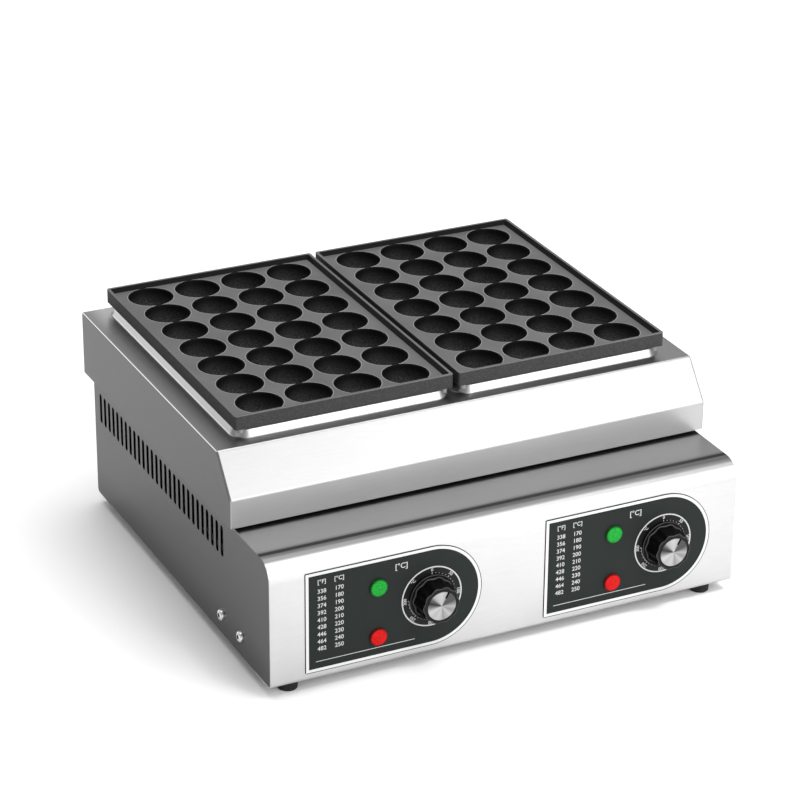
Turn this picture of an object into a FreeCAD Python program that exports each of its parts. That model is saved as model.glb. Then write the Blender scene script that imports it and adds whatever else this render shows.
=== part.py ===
"""Two-plate electric takoyaki maker for a counter top: a bent stainless housing, a pressed cover with two
openings, and in each opening a cast plate of round cups that lifts off, over its own heating element,
thermostat, knob and pair of lamps.

Frame: millimetres, +X to the operator's right, +Y to the back, +Z up. The origin is on the counter, under
the middle of the object's box.
"""

import FreeCAD
import Part

import math
import os

V = FreeCAD.Vector

# ---------------------------------------------------------------------------------------------------------
# Driving dimensions
# ---------------------------------------------------------------------------------------------------------

# cast cup plates
cup_diameter = 38.0
cup_columns = 4
cup_rows = 7
column_pitch = 43.3
row_pitch = 39.1
plate_side_margin = 31.3  # plate edge to the nearest column's centre line
plate_end_margin = 24.6  # plate edge to the nearest row's centre line
plate_gap = 5.0  # between the two plates
plate_wall_height = 12.0
plate_wall = 3.4
rim_height = 3.7  # rim's top above the plate's floor
rim_top_width = 2.4
rim_slope_width = 2.6  # the rim's inner face leans outwards by this much
plate_floor = 5.0
plate_corner_radius = 2.0
cup_edge_chamfer = 0.7
cup_bottom_wall = 3.0
cup_side_wall = 2.7
cup_boss_end_radius = 12.0
peg_height = 4.9  # cast pegs that carry the plate clear of the cover
peg_top_radius = 3.4
peg_foot_radius = 2.3
peg_inset = 6.2  # from the plate's side edge
peg_end_inset = 5.0  # from the plate's front and back edges

# pressed cover
cover_sheet = 1.2
deck_side_border = 20.8  # plate's outer edge to the cover's side
deck_front_border = 10.8  # plate's front edge to the chamfer
deck_back_border = 8.0
chamfer_run = 25.4
chamfer_drop = 32.3
lip_height = 24.7
cover_bend_radius = 2.6
cover_side_radius = 1.6
collar_height = 4.0  # pressed step round each opening, which carries the plate
collar_corner_radius = 12.0
collar_base_inset = 0.6  # collar's foot inside the plate's outline
collar_lean = 2.6
lift_clearance = 1.3  # round the cups' bosses as a plate is lifted through its opening

# bent sheet housing
housing_sheet = 1.0
housing_side_inset = 5.0  # housing side inside the cover's side
housing_back_inset = 11.1
ledge_reach = 64.1  # from the cover's lip forward to the front face
ledge_gap = 2.6  # shadow gap between the cover's lip and the ledge
housing_height = 110.2  # housing's underside to the ledge
ledge_bend_radius = 17.0
bottom_bend_radius = 4.0
return_width = 32.0  # bent-in edges of the front and back sheets under the housing
side_flange = 12.0
fit_gap = 0.1  # between sheets that lie on each other

# side vents
vent_count = 28
vent_pitch = 10.04
vent_width = 5.0
vent_height = 27.2
vent_drop = 9.4  # from the ledge's level down to the slots' tops
vent_back_margin = 15.5

# bottom vents
bottom_vent_count = 9
bottom_vent_pitch = 14.0
bottom_vent_width = 5.0
bottom_vent_length = 60.0

# feet
foot_height = 10.0
foot_top_radius = 8.8
foot_bottom_radius = 8.0
foot_recess_radius = 4.8
foot_recess_depth = 4.2
foot_side_inset = 21.3  # from the housing's side
foot_end_inset = 15.5  # from the housing's front and back

# control panels
dial_pitch = 212.3  # between the two knobs
dial_offset = 35.6  # knobs' middle, right of the machine's middle
dial_height = 51.6  # above the housing's underside
film_thickness = 0.5
film_radius = 44.7
film_reach = 110.4  # from the knob's axis to the film's straight left edge
film_corner_radius = 1.5

# lamps
lamp_offset = 47.1  # left of the knob's axis
power_lamp_rise = 18.8  # above the knob's axis
heat_lamp_drop = 25.6  # below the knob's axis
lens_radius = 7.5
lens_height = 2.6
lens_dome = 0.9
lamp_neck_radius = 5.8
lamp_body_length = 25.0
lamp_blade_length = 7.0

# knobs
knob_flange_radius = 20.0
knob_flange_thickness = 1.8
knob_air_gap = 0.8  # between the flange and the film
grip_radius = 17.4
grip_front_radius = 16.6
grip_lobes = 10
grip_flute_radius = 5.0
grip_flute_depth = 1.2
grip_edge_chamfer = 0.8
knob_reach = 18.7  # cap's front ahead of the front face
cap_radius = 12.35
cap_thickness = 1.2
cap_proud = 0.5
cap_mark_width = 1.0
cap_mark_length = 4.6
cap_mark_angle = 29.0  # clockwise from the top

# thermostats
shaft_radius = 3.0
shaft_flat = 0.9
shaft_clearance = 0.06
shaft_depth_in_knob = 11.0
shaft_depth_in_body = 17.0
thermostat_width = 46.0
thermostat_height = 33.0
thermostat_depth = 25.0
thermostat_plate_width = 50.0
thermostat_plate_height = 38.0
thermostat_plate_thickness = 1.6
thermostat_bush_radius = 4.8
thermostat_screw_spacing = 32.0
countersink_radius = 3.1
sensor_radius = 3.0
sensor_length = 150.0
capillary_radius = 1.0
capillary_bend = 6.0

# heating elements
tube_radius = 4.0
tube_drop = 9.0  # tube's axis below the cups' bosses
tube_end_margin = 6.0  # bends' outer edge inside the heat tray
tube_tail = 3.0  # tube ahead of the heat tray's front wall
stud_radius = 2.0
stud_length = 8.0
insulator_radius = 3.2
insulator_length = 4.0

# heat trays under the openings
tray_sheet = 0.8
tray_drop = 34.0  # below the cover's deck
tray_side_margin = 4.0  # tray wall outside the opening's edge
tray_end_margin = 0.4
tray_flange = 7.0
rack_bar = 1.5
rack_height = 12.0
rack_rail_width = 6.0

# inner sheet parts
rail_depth = 61.0
rail_side_height = 10.0
rail_ear_height = 29.0
rail_front_gap = 47.0  # from the front face to the rail
shield_back_gap = 1.7  # shield behind the cover's chamfer edge
shield_foot = 12.0
shield_hole_clearance = 1.0
shield_hole_drop = 22.0  # capillary's hole under the ledge's level

# power entry
cord_radius = 4.5
bushing_flange_radius = 12.0
bushing_flange_height = 4.0
bushing_nose_radius = 8.0
bushing_nose_height = 5.0
bushing_neck_radius = 9.8
bushing_nut_radius = 13.0
bushing_nut_height = 5.0
bushing_x = -150.0
bushing_height = 32.0  # above the housing's underside
block_length = 48.0
block_depth = 19.0
block_height = 17.0
block_ways = 3

# fasteners
screw_radius = 2.0
screw_head_radius = 4.0
screw_head_height = 2.3
screw_length = 8.0
thread_clearance = 0.05
hole_clearance = 0.25
nut_radius = 4.4
nut_height = 3.2
side_screw_spacing = 39.1
side_screw_height = 18.6  # above the housing's underside
cover_stud_radius = 2.5
cover_stud_length = 10.0

# ---------------------------------------------------------------------------------------------------------
# Places worked out from them
# ---------------------------------------------------------------------------------------------------------

cup_radius = cup_diameter / 2
plate_width = (cup_columns - 1) * column_pitch + 2 * plate_side_margin
plate_length = (cup_rows - 1) * row_pitch + 2 * plate_end_margin
cover_half_width = plate_gap / 2 + plate_width + deck_side_border
deck_depth = deck_front_border + plate_length + deck_back_border
overall_depth = knob_reach + ledge_reach + chamfer_run + deck_depth

face_y = -overall_depth / 2 + knob_reach
lip_y = face_y + ledge_reach
deck_front_y = lip_y + chamfer_run
plate_front_y = deck_front_y + deck_front_border
plate_back_y = plate_front_y + plate_length
cover_back_y = plate_back_y + deck_back_border
housing_back_y = cover_back_y - housing_back_inset
housing_half_width = cover_half_width - housing_side_inset

housing_z = foot_height
ledge_z = housing_z + housing_height
lip_z = ledge_z + ledge_gap
chamfer_z = lip_z + lip_height
deck_z = chamfer_z + chamfer_drop
deck_under_z = deck_z - cover_sheet
shelf_z = deck_z + collar_height
plate_under_z = shelf_z + peg_height
rim_z = plate_under_z + plate_wall_height
floor_z = rim_z - rim_height
boss_z = floor_z - cup_radius - cup_bottom_wall

dial_z = housing_z + dial_height
film_y = face_y - film_thickness
tray_z = deck_z - tray_drop
tube_z = boss_z - tube_drop
inner_side_x = housing_half_width - housing_sheet
side_step_y = deck_front_y + 4.5
side_sheet_inset = housing_sheet + fit_gap
bottom_plate_z = housing_z + side_sheet_inset + housing_sheet
rail_z = bottom_plate_z + housing_sheet
rail_front_y = face_y + rail_front_gap
rail_back_y = rail_front_y + rail_depth
shield_y = deck_front_y + shield_back_gap
SIDES = {"left": -1, "right": 1}


def plate_centre_x(side):
    return side * (plate_gap + plate_width) / 2


def column_x(side):
    """Centre lines of the plate's cup columns, from left to right."""
    middle = (cup_columns - 1) / 2
    return [plate_centre_x(side) + (i - middle) * column_pitch for i in range(cup_columns)]


def row_y():
    return [plate_front_y + plate_end_margin + i * row_pitch for i in range(cup_rows)]


def dial_x(side):
    return dial_offset + side * dial_pitch / 2


def boss_radius(depth):
    """Outer radius of a cup's boss at a depth under the plate's floor."""
    top_depth = plate_floor
    end_depth = cup_radius + cup_bottom_wall
    top = math.sqrt(cup_radius**2 - top_depth**2) + cup_side_wall
    share = (depth - top_depth) / (end_depth - top_depth)
    return top + (cup_boss_end_radius - top) * share


def opening(side):
    """The cover's opening under a plate: x0, x1, y0, y1, wide enough for the bosses to lift through."""
    reach = boss_radius(floor_z - shelf_z) + lift_clearance
    columns, rows = column_x(side), row_y()
    return columns[0] - reach, columns[-1] + reach, rows[0] - reach, rows[-1] + reach


# ---------------------------------------------------------------------------------------------------------
# Modelling helpers
# ---------------------------------------------------------------------------------------------------------


def box(x0, x1, y0, y1, z0, z1):
    return Part.makeBox(x1 - x0, y1 - y0, z1 - z0, V(x0, y0, z0))


def cylinder(radius, start, direction, length):
    return Part.makeCylinder(radius, length, V(*start), V(*direction))


def fuse(shapes):
    return shapes[0].multiFuse(shapes[1:]).removeSplitter() if len(shapes) > 1 else shapes[0]


def rounded_corner(before, corner, after, radius):
    """The arc that rounds a corner, as its start, its end and its edge."""
    back = (before - corner).normalize()
    ahead = (after - corner).normalize()
    half = back.getAngle(ahead) / 2
    start = corner + back * (radius / math.tan(half))
    end = corner + ahead * (radius / math.tan(half))
    inward = (back + ahead).normalize()
    middle = corner + inward * (radius / math.sin(half) - radius)
    return start, end, Part.Arc(start, middle, end).toShape()


def rounded_path(corners, closed=True):
    """A wire through (point, radius) corners, each corner rounded to its radius."""
    count = len(corners)
    pieces = []
    for i, (point, radius) in enumerate(corners):
        if radius <= 0 or (not closed and i in (0, count - 1)):
            pieces.append((point, point, None))
        else:
            pieces.append(rounded_corner(corners[i - 1][0], point, corners[(i + 1) % count][0], radius))
    edges = []
    for i, (_, end, arc) in enumerate(pieces):
        if arc:
            edges.append(arc)
        if closed or i < count - 1:
            following = pieces[(i + 1) % count][0]
            if (following - end).Length > 1e-6:
                edges.append(Part.LineSegment(end, following).toShape())
    return Part.Wire(edges)


def rounded_rectangle(x0, x1, y0, y1, radius, z):
    corners = [(x0, y0), (x1, y0), (x1, y1), (x0, y1)]
    return rounded_path([(V(x, y, z), radius) for x, y in corners])


def slab(x0, x1, y0, y1, radius, z0, z1):
    return Part.Face(rounded_rectangle(x0, x1, y0, y1, radius, z0)).extrude(V(0, 0, z1 - z0))


def side_profile(corners, x0, x1):
    """A solid whose outline, given as (y, z, radius) corners, runs across the machine from x0 to x1."""
    wire = rounded_path([(V(x0, y, z), radius) for y, z, radius in corners])
    return Part.Face(wire).extrude(V(x1 - x0, 0, 0))


def tube(corners, radius):
    """A round bar along a path of (point, bend radius) corners."""
    path = rounded_path(corners, closed=False)
    heading = (corners[1][0] - corners[0][0]).normalize()
    section = Part.Wire([Part.makeCircle(radius, corners[0][0], heading)])
    return path.makePipeShell([section], True, False)


def hexagon(radius, start, direction, length):
    """A nut's outline across its corners, along X, Y or Z."""
    axis = V(*direction)
    across = V(0, 0, 1) if abs(axis.z) < 0.5 else V(1, 0, 0)
    other = axis.cross(across)
    turns = [math.radians(60 * i) for i in range(7)]
    points = [V(*start) + across * (radius * math.cos(t)) + other * (radius * math.sin(t)) for t in turns]
    return Part.Face(Part.makePolygon(points)).extrude(axis * length)


def pan_screw(seat, direction, length=screw_length, head_radius=screw_head_radius):
    """A dome-head screw whose head stands on seat; direction points from the head into the work."""
    into = V(*direction)
    shank = Part.makeCylinder(screw_radius, length, V(*seat), into)
    ball = (head_radius**2 + screw_head_height**2) / (2 * screw_head_height)
    centre = V(*seat) + into * (ball - screw_head_height)
    dome = Part.makeSphere(ball, centre)
    head = dome.common(Part.makeCylinder(head_radius, screw_head_height, V(*seat), into * -1))
    slot_depth = screw_head_height * 0.55
    top = V(*seat) - into * screw_head_height
    slot = Part.makeCylinder(head_radius * 0.28, slot_depth, top, into)
    return shank.fuse(head).cut(slot)


def save(name, shape):
    shape.exportStep(os.path.join("parts", name + ".step"))
    print(f"{name:26s} solids {len(shape.Solids)}  valid {shape.isValid()}  volume {shape.Volume:.0f}")


def save_group(name, shapes):
    save(name, Part.makeCompound(shapes))


# ---------------------------------------------------------------------------------------------------------
# Cast cup plates
# ---------------------------------------------------------------------------------------------------------


def cup_hollow(x, y):
    """What a cup takes away: half a ball under the floor, with a small chamfer round its edge."""
    meeting = math.sqrt(cup_radius**2 - cup_edge_chamfer**2)
    bend = cup_radius * math.sqrt(0.5)
    above = rim_height + 1
    edges = [
        Part.LineSegment(V(0, 0, -cup_radius), V(0, 0, above)),
        Part.LineSegment(V(0, 0, above), V(cup_radius + cup_edge_chamfer, 0, above)),
        Part.LineSegment(V(cup_radius + cup_edge_chamfer, 0, above), V(cup_radius + cup_edge_chamfer, 0, 0)),
        Part.LineSegment(V(cup_radius + cup_edge_chamfer, 0, 0), V(meeting, 0, -cup_edge_chamfer)),
        Part.Arc(V(meeting, 0, -cup_edge_chamfer), V(bend, 0, -bend), V(0, 0, -cup_radius)),
    ]
    profile = Part.Face(Part.Wire([edge.toShape() for edge in edges]))
    hollow = profile.revolve(V(0, 0, 0), V(0, 0, 1), 360)
    hollow.translate(V(x, y, floor_z))
    return hollow


def cup_boss(x, y):
    """The metal round a cup under the floor, drafted down to a flat end over the heating element."""
    start_depth = plate_floor - 0.5
    start = V(x, y, floor_z - start_depth)
    length = floor_z - start_depth - boss_z
    return Part.makeCone(boss_radius(start_depth), cup_boss_end_radius, length, start, V(0, 0, -1))


def plate_casting(x0, x1):
    """Floor, rim and outer wall, before the cups."""
    y0, y1 = plate_front_y, plate_back_y
    block = slab(x0, x1, y0, y1, plate_corner_radius, plate_under_z, rim_z)
    top = rim_top_width
    foot = rim_top_width + rim_slope_width
    upper = rounded_rectangle(x0 + top, x1 - top, y0 + top, y1 - top, plate_corner_radius, rim_z)
    lower = rounded_rectangle(x0 + foot, x1 - foot, y0 + foot, y1 - foot, plate_corner_radius, floor_z)
    basin = Part.makeLoft([lower, upper], True, True)
    wall = plate_wall
    hollow = slab(
        x0 + wall, x1 - wall, y0 + wall, y1 - wall, plate_corner_radius, plate_under_z, floor_z - plate_floor
    )
    return block.cut(basin).cut(hollow)


def plate_pegs(x0, x1):
    pegs = []
    for x in (x0 + peg_inset, x1 - peg_inset):
        for y in (plate_front_y + peg_end_inset, plate_back_y - peg_end_inset):
            root = V(x, y, floor_z - plate_floor)
            length = floor_z - plate_floor - shelf_z - fit_gap
            pegs.append(Part.makeCone(peg_top_radius, peg_foot_radius, length, root, V(0, 0, -1)))
    return pegs


def cup_plate(side):
    x0 = plate_centre_x(side) - plate_width / 2
    x1 = x0 + plate_width
    cups = [(x, y) for x in column_x(side) for y in row_y()]
    outside = slab(x0, x1, plate_front_y, plate_back_y, plate_corner_radius, boss_z, rim_z)
    bosses = [cup_boss(x, y).common(outside) for x, y in cups]
    casting = fuse([plate_casting(x0, x1)] + bosses + plate_pegs(x0, x1))
    return casting.cut([cup_hollow(x, y) for x, y in cups])


# ---------------------------------------------------------------------------------------------------------
# Pressed cover
# ---------------------------------------------------------------------------------------------------------


def cover_form(inset):
    """The cover's outer form, or its inside at a sheet's thickness in."""
    bottom = lip_z if inset == 0 else lip_z - 5
    half = cover_half_width - inset
    bend = cover_bend_radius - inset
    lean = math.atan2(chamfer_run, chamfer_drop)
    shift = inset * math.tan((math.pi / 2 - lean) / 2)
    drop = inset * math.tan(lean / 2)
    corners = [
        (cover_back_y - inset, bottom, 0),
        (cover_back_y - inset, deck_z - inset, bend),
        (deck_front_y + shift, deck_z - inset, bend),
        (lip_y + inset, chamfer_z - drop, bend),
        (lip_y + inset, bottom, 0),
    ]
    form = side_profile(corners, -half, half)
    side_edges = [e for e in form.Edges if abs(abs(e.BoundBox.Center.x) - half) < 1e-3 and e.BoundBox.XLength < 1e-3]
    upper_edges = [e for e in side_edges if e.BoundBox.ZMax > bottom + 1e-3]
    return form.makeFillet(cover_side_radius - inset / 2, upper_edges)


def collar_form(side, inset):
    """The raised step that carries a plate, leaning in from its foot to its flat top."""
    x_middle, half_width = plate_centre_x(side), plate_width / 2 - collar_base_inset - inset
    y0 = plate_front_y + collar_base_inset + inset
    y1 = plate_back_y - collar_base_inset - inset
    low, high = deck_under_z - (1 if inset else 0), shelf_z - inset
    lean = collar_lean
    radius = collar_corner_radius
    foot = rounded_rectangle(x_middle - half_width, x_middle + half_width, y0, y1, radius, low)
    top = rounded_rectangle(
        x_middle - half_width + lean, x_middle + half_width - lean, y0 + lean, y1 - lean, radius - lean, high
    )
    form = Part.makeLoft([foot, top], True, True)
    if inset:
        return form
    top_edges = [e for e in form.Edges if abs(e.BoundBox.ZMin - high) < 1e-3 and abs(e.BoundBox.ZMax - high) < 1e-3]
    return form.makeFillet(1.4, top_edges)


def cover_stud_places():
    x = inner_side_x - side_flange / 2
    return [(sx * x, y) for sx in (-1, 1) for y in (plate_front_y + 30, plate_back_y - 30)]


def top_cover():
    shell = cover_form(0).cut(cover_form(cover_sheet))
    shell = fuse([shell] + [collar_form(side, 0) for side in SIDES.values()])
    for side in SIDES.values():
        x0, x1, y0, y1 = opening(side)
        shell = shell.cut(collar_form(side, cover_sheet))
        shell = shell.cut(slab(x0, x1, y0, y1, collar_corner_radius - 5, lip_z, rim_z))
    studs = [cylinder(cover_stud_radius, (x, y, deck_z - 0.6), (0, 0, -1), cover_stud_length)
             for x, y in cover_stud_places()]
    return fuse([shell] + studs)


def cover_nuts():
    z = deck_under_z - housing_sheet - fit_gap
    nuts = []
    for x, y in cover_stud_places():
        nut = hexagon(nut_radius + 0.4, (x, y, z), (0, 0, -1), nut_height)
        bore = cylinder(cover_stud_radius + thread_clearance, (x, y, z + 1), (0, 0, -1), nut_height + 2)
        nuts.append(nut.cut(bore))
    return nuts


# ---------------------------------------------------------------------------------------------------------
# Sheet housing
# ---------------------------------------------------------------------------------------------------------


def lamp_places(side):
    x = dial_x(side) - lamp_offset
    return {"power": (x, dial_z + power_lamp_rise), "heat": (x, dial_z - heat_lamp_drop)}


def thermostat_screw_places(side):
    return [(dial_x(side) + s * thermostat_screw_spacing / 2, dial_z) for s in (-1, 1)]


def countersink(x, z, clearance, length):
    """A flush screw's head in the face sheet, or the hole for it, and its shank behind the sheet."""
    wide, narrow = countersink_radius + clearance, screw_radius + clearance
    head = Part.makeCone(wide, narrow, housing_sheet, V(x, face_y, z), V(0, 1, 0))
    if length == 0:
        return head
    return fuse([head, cylinder(narrow, (x, face_y + housing_sheet, z), (0, 1, 0), length)])


def panel_holes(side, y, depth):
    """Holes for a control panel's shaft and lamps."""
    holes = [cylinder(thermostat_bush_radius + hole_clearance, (dial_x(side), y, dial_z), (0, 1, 0), depth)]
    for x, z in lamp_places(side).values():
        holes.append(cylinder(lamp_neck_radius + fit_gap, (x, y, z), (0, 1, 0), depth))
    return holes


def front_bolt_places():
    return [(x, face_y + return_width - 10) for x in (-housing_half_width / 2, 0, housing_half_width / 2)]


def foot_places():
    x = housing_half_width - foot_side_inset
    return {
        "front_left": (-x, face_y + foot_end_inset),
        "front_right": (x, face_y + foot_end_inset),
        "back_left": (-x, housing_back_y - foot_end_inset),
        "back_right": (x, housing_back_y - foot_end_inset),
    }


def foot_holes():
    start = housing_z - 1
    return [cylinder(screw_radius + hole_clearance, (x, y, start), (0, 0, 1), 8) for x, y in foot_places().values()]


def front_panel():
    """One sheet: the ledge under the cover's lip, the large bend, the face and the edge turned in below."""
    t = housing_sheet
    ledge_back_y = deck_front_y - 2
    return_y = face_y + return_width
    corners = [
        (ledge_back_y, ledge_z, 0),
        (face_y, ledge_z, ledge_bend_radius),
        (face_y, housing_z, bottom_bend_radius),
        (return_y, housing_z, 0),
        (return_y, housing_z + t, 0),
        (face_y + t, housing_z + t, bottom_bend_radius - t),
        (face_y + t, ledge_z - t, ledge_bend_radius - t),
        (ledge_back_y, ledge_z - t, 0),
    ]
    sheet = side_profile(corners, -housing_half_width, housing_half_width)
    holes = foot_holes()
    for side in SIDES.values():
        holes += panel_holes(side, face_y - 1, t + 2)
        holes += [countersink(x, z, hole_clearance / 2, 0) for x, z in thermostat_screw_places(side)]
    for x, y in front_bolt_places():
        holes.append(cylinder(screw_radius + hole_clearance, (x, y, housing_z - 1), (0, 0, 1), t + 2))
    return sheet.cut(holes)


def side_outline(inset):
    """A side panel's outline: low under the ledge, and up to the deck behind the cover's chamfer."""
    front, back = face_y + inset, housing_back_y - inset
    low, ledge, high = housing_z + inset, ledge_z - inset, deck_under_z - fit_gap - (inset - side_sheet_inset)
    step = side_step_y + (inset - side_sheet_inset)
    return [
        (back, low, bottom_bend_radius - inset),
        (back, high, 0),
        (step, high, 0),
        (step, ledge, 0),
        (front, ledge, ledge_bend_radius - inset),
        (front, low, bottom_bend_radius - inset),
    ]


def vent_slot(x0, x1, y, z0, z1):
    radius = vent_width / 2
    wire = rounded_path(
        [(V(x0, y - radius, z0), radius * 0.999), (V(x0, y + radius, z0), radius * 0.999),
         (V(x0, y + radius, z1), radius * 0.999), (V(x0, y - radius, z1), radius * 0.999)]
    )
    return Part.Face(wire).extrude(V(x1 - x0, 0, 0))


def side_screw_places():
    middle = (rail_front_y + rail_back_y) / 2
    z = housing_z + side_screw_height
    return [(middle + s * side_screw_spacing / 2, z) for s in (-1, 1)]


def back_screw_places():
    x = inner_side_x - side_flange / 2
    span = deck_under_z - housing_z
    return [(s * x, housing_z + share * span) for s in (-1, 1) for share in (0.12, 0.5, 0.88)]


def side_panel(side):
    """A flat sheet with a turned-in flange all round, a row of vents and two screw holes."""
    outer, inner = side_outline(side_sheet_inset), side_outline(side_sheet_inset + housing_sheet)
    face_x, back_x = side * housing_half_width, side * inner_side_x
    flange_x = side * (inner_side_x - side_flange)
    sheet = side_profile(outer, face_x, back_x)
    flange = side_profile(outer, back_x, flange_x).cut(side_profile(inner, back_x, flange_x))
    top = ledge_z - vent_drop
    first = housing_back_y - vent_back_margin
    cuts = [
        vent_slot(face_x + side, back_x - side, first - i * vent_pitch, top - vent_height, top)
        for i in range(vent_count)
    ]
    for y, z in side_screw_places():
        cuts.append(cylinder(screw_radius + hole_clearance, (face_x + side, y, z), (-side, 0, 0), 3))
    for x, y in cover_stud_places():
        cuts.append(cylinder(cover_stud_radius + hole_clearance, (x, y, deck_z), (0, 0, -1), 4))
    for x, z in back_screw_places():
        cuts.append(cylinder(screw_radius + thread_clearance, (x, housing_back_y, z), (0, -1, 0), 4))
    return fuse([sheet, flange]).cut(cuts)


def back_panel():
    """A flat sheet with its lower edge turned in, and the hole of the cord's bushing."""
    t = housing_sheet
    high = deck_under_z - fit_gap
    corners = [
        (housing_back_y, housing_z, bottom_bend_radius),
        (housing_back_y, high, 0),
        (housing_back_y - t, high, 0),
        (housing_back_y - t, housing_z + t, bottom_bend_radius - t),
        (housing_back_y - return_width, housing_z + t, 0),
        (housing_back_y - return_width, housing_z, 0),
    ]
    sheet = side_profile(corners, -housing_half_width, housing_half_width)
    z = housing_z + bushing_height
    holes = [cylinder(bushing_neck_radius + fit_gap, (bushing_x, housing_back_y + 1, z), (0, -1, 0), 4)]
    for x, z in back_screw_places():
        holes.append(cylinder(screw_radius + hole_clearance, (x, housing_back_y + 1, z), (0, -1, 0), 4))
    return sheet.cut(holes + foot_holes())


def bottom_vents():
    """Air slots in the bottom plate, one group under each plate."""
    slots = []
    radius = bottom_vent_width / 2
    middle_y = (plate_front_y + plate_back_y) / 2
    for side in SIDES.values():
        for i in range(bottom_vent_count):
            x = plate_centre_x(side) + (i - (bottom_vent_count - 1) / 2) * bottom_vent_pitch
            y0, y1 = middle_y - bottom_vent_length / 2, middle_y + bottom_vent_length / 2
            slots.append(slab(x - radius, x + radius, y0, y1, radius * 0.999, housing_z, rail_z + 1))
    return slots


def bottom_plate():
    """A tray that lies on the side panels' lower flanges, with its front and back edges turned up."""
    half = inner_side_x - fit_gap
    y0, y1 = face_y + 8, housing_back_y - 8
    t = housing_sheet
    sheet = box(-half, half, y0, y1, bottom_plate_z, bottom_plate_z + t)
    edges = [box(-half, half, y, y + t, bottom_plate_z, bottom_plate_z + 9) for y in (y0, y1 - t)]
    bolts = [cylinder(screw_radius + thread_clearance, (x, y, housing_z), (0, 0, 1), 6)
             for x, y in front_bolt_places()]
    return fuse([sheet] + edges).cut(bottom_vents() + foot_holes() + bolts)


# ---------------------------------------------------------------------------------------------------------
# Inner sheet parts
# ---------------------------------------------------------------------------------------------------------


def component_rail():
    """A channel across the machine, held at each end by two screws through the side panel."""
    t = housing_sheet
    half = inner_side_x - fit_gap
    y0, y1 = rail_front_y, rail_back_y
    channel = box(-half, half, y0, y1, rail_z, rail_z + rail_side_height)
    channel = channel.cut(box(-half - 1, half + 1, y0 + t, y1 - t, rail_z + t, rail_z + rail_side_height + 1))
    ears = [box(x, x + t, y0 + 3, y1 - 3, rail_z, rail_z + rail_ear_height) for x in (-half, half - t)]
    holes = []
    for y, z in side_screw_places():
        holes.append(cylinder(screw_radius + thread_clearance, (-half - 1, y, z), (1, 0, 0), 2 * half + 2))
    holes.append(cylinder(screw_radius + thread_clearance, (earth_x(), rail_middle_y(), rail_z - 1), (0, 0, 1), 4))
    return fuse([channel] + ears).cut(holes)


def rail_middle_y():
    return (rail_front_y + shield_y) / 2


def earth_x():
    return block_length / 2 + 24


def shield_hole_z():
    return ledge_z - shield_hole_drop


def heat_shield():
    """An upright sheet between the hot side and the controls, standing on the rail."""
    t = housing_sheet
    half = inner_side_x - side_flange - 1
    low = rail_z + t
    sheet = box(-half, half, shield_y, shield_y + t, low, deck_under_z - fit_gap)
    foot = box(-half, half, shield_y - shield_foot, shield_y + t, low, low + t)
    hole_radius = capillary_radius + shield_hole_clearance
    holes = [cylinder(hole_radius, (plate_centre_x(side), shield_y - 1, shield_hole_z()), (0, 1, 0), 4)
             for side in SIDES.values()]
    return fuse([sheet, foot]).cut(holes)


def tray_walls(side):
    """Outer faces of a heat tray's walls: x0, x1, y0, y1."""
    x0, x1, y0, y1 = opening(side)
    reach, end = tray_side_margin, tray_end_margin + tray_sheet
    return x0 - reach, x1 + reach, y0 - end, y1 + end


def heat_tray(side):
    """An open tray hung under the deck, which keeps the element's heat under the plate."""
    x0, x1, y0, y1 = tray_walls(side)
    t = tray_sheet
    top = deck_under_z
    walls = slab(x0, x1, y0, y1, 3, tray_z, top).cut(slab(x0 + t, x1 - t, y0 + t, y1 - t, 3 - t, tray_z + t, top))
    flange = box(x0 - tray_flange, x1 + tray_flange, y0, y1 - 12, top - t, top)
    flange = flange.cut(box(x0 + t / 2, x1 - t / 2, y0 + t / 2, y1, top - t, top))
    holes = [cylinder(tube_radius + fit_gap, (x, y0 - 1, tube_z), (0, 1, 0), 3) for x in heater_tail_x(side)]
    holes.append(cylinder(capillary_radius + hole_clearance, (plate_centre_x(side), y0 - 1, sensor_z()), (0, 1, 0), 3))
    return fuse([walls, flange]).cut(holes)


# ---------------------------------------------------------------------------------------------------------
# Heating elements and sensors
# ---------------------------------------------------------------------------------------------------------


def heater_tail_x(side):
    columns = column_x(side)
    return columns[0], columns[-1]


def tail_y(side):
    return tray_walls(side)[2] - tube_tail


def heater(side):
    """A tubular element that runs under every column of cups, with both tails to the front."""
    _, _, y0, y1 = tray_walls(side)
    bend = column_pitch / 2 * 0.999
    front = y0 + tray_sheet + tube_end_margin + tube_radius
    back = y1 - tray_sheet - tube_end_margin - tube_radius
    columns = column_x(side)
    corners = [(V(columns[0], tail_y(side), tube_z), 0)]
    for i in range(cup_columns - 1):
        y = back if i % 2 == 0 else front
        corners += [(V(columns[i], y, tube_z), bend), (V(columns[i + 1], y, tube_z), bend)]
    corners.append((V(columns[-1], tail_y(side), tube_z), 0))
    body = tube(corners, tube_radius)
    studs = [cylinder(stud_radius, (x, tail_y(side), tube_z), (0, -1, 0), stud_length) for x in heater_tail_x(side)]
    return fuse([body] + studs)


def heater_insulators(side):
    rings = []
    for x in heater_tail_x(side):
        start = (x, tail_y(side), tube_z)
        outer = cylinder(insulator_radius, start, (0, -1, 0), insulator_length)
        rings.append(outer.cut(cylinder(stud_radius + thread_clearance, start, (0, -1, 0), insulator_length)))
    return rings


def rack_top_z():
    return tube_z + tube_radius * 0.5


def sensor_z():
    return rack_top_z() + sensor_radius + fit_gap


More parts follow.
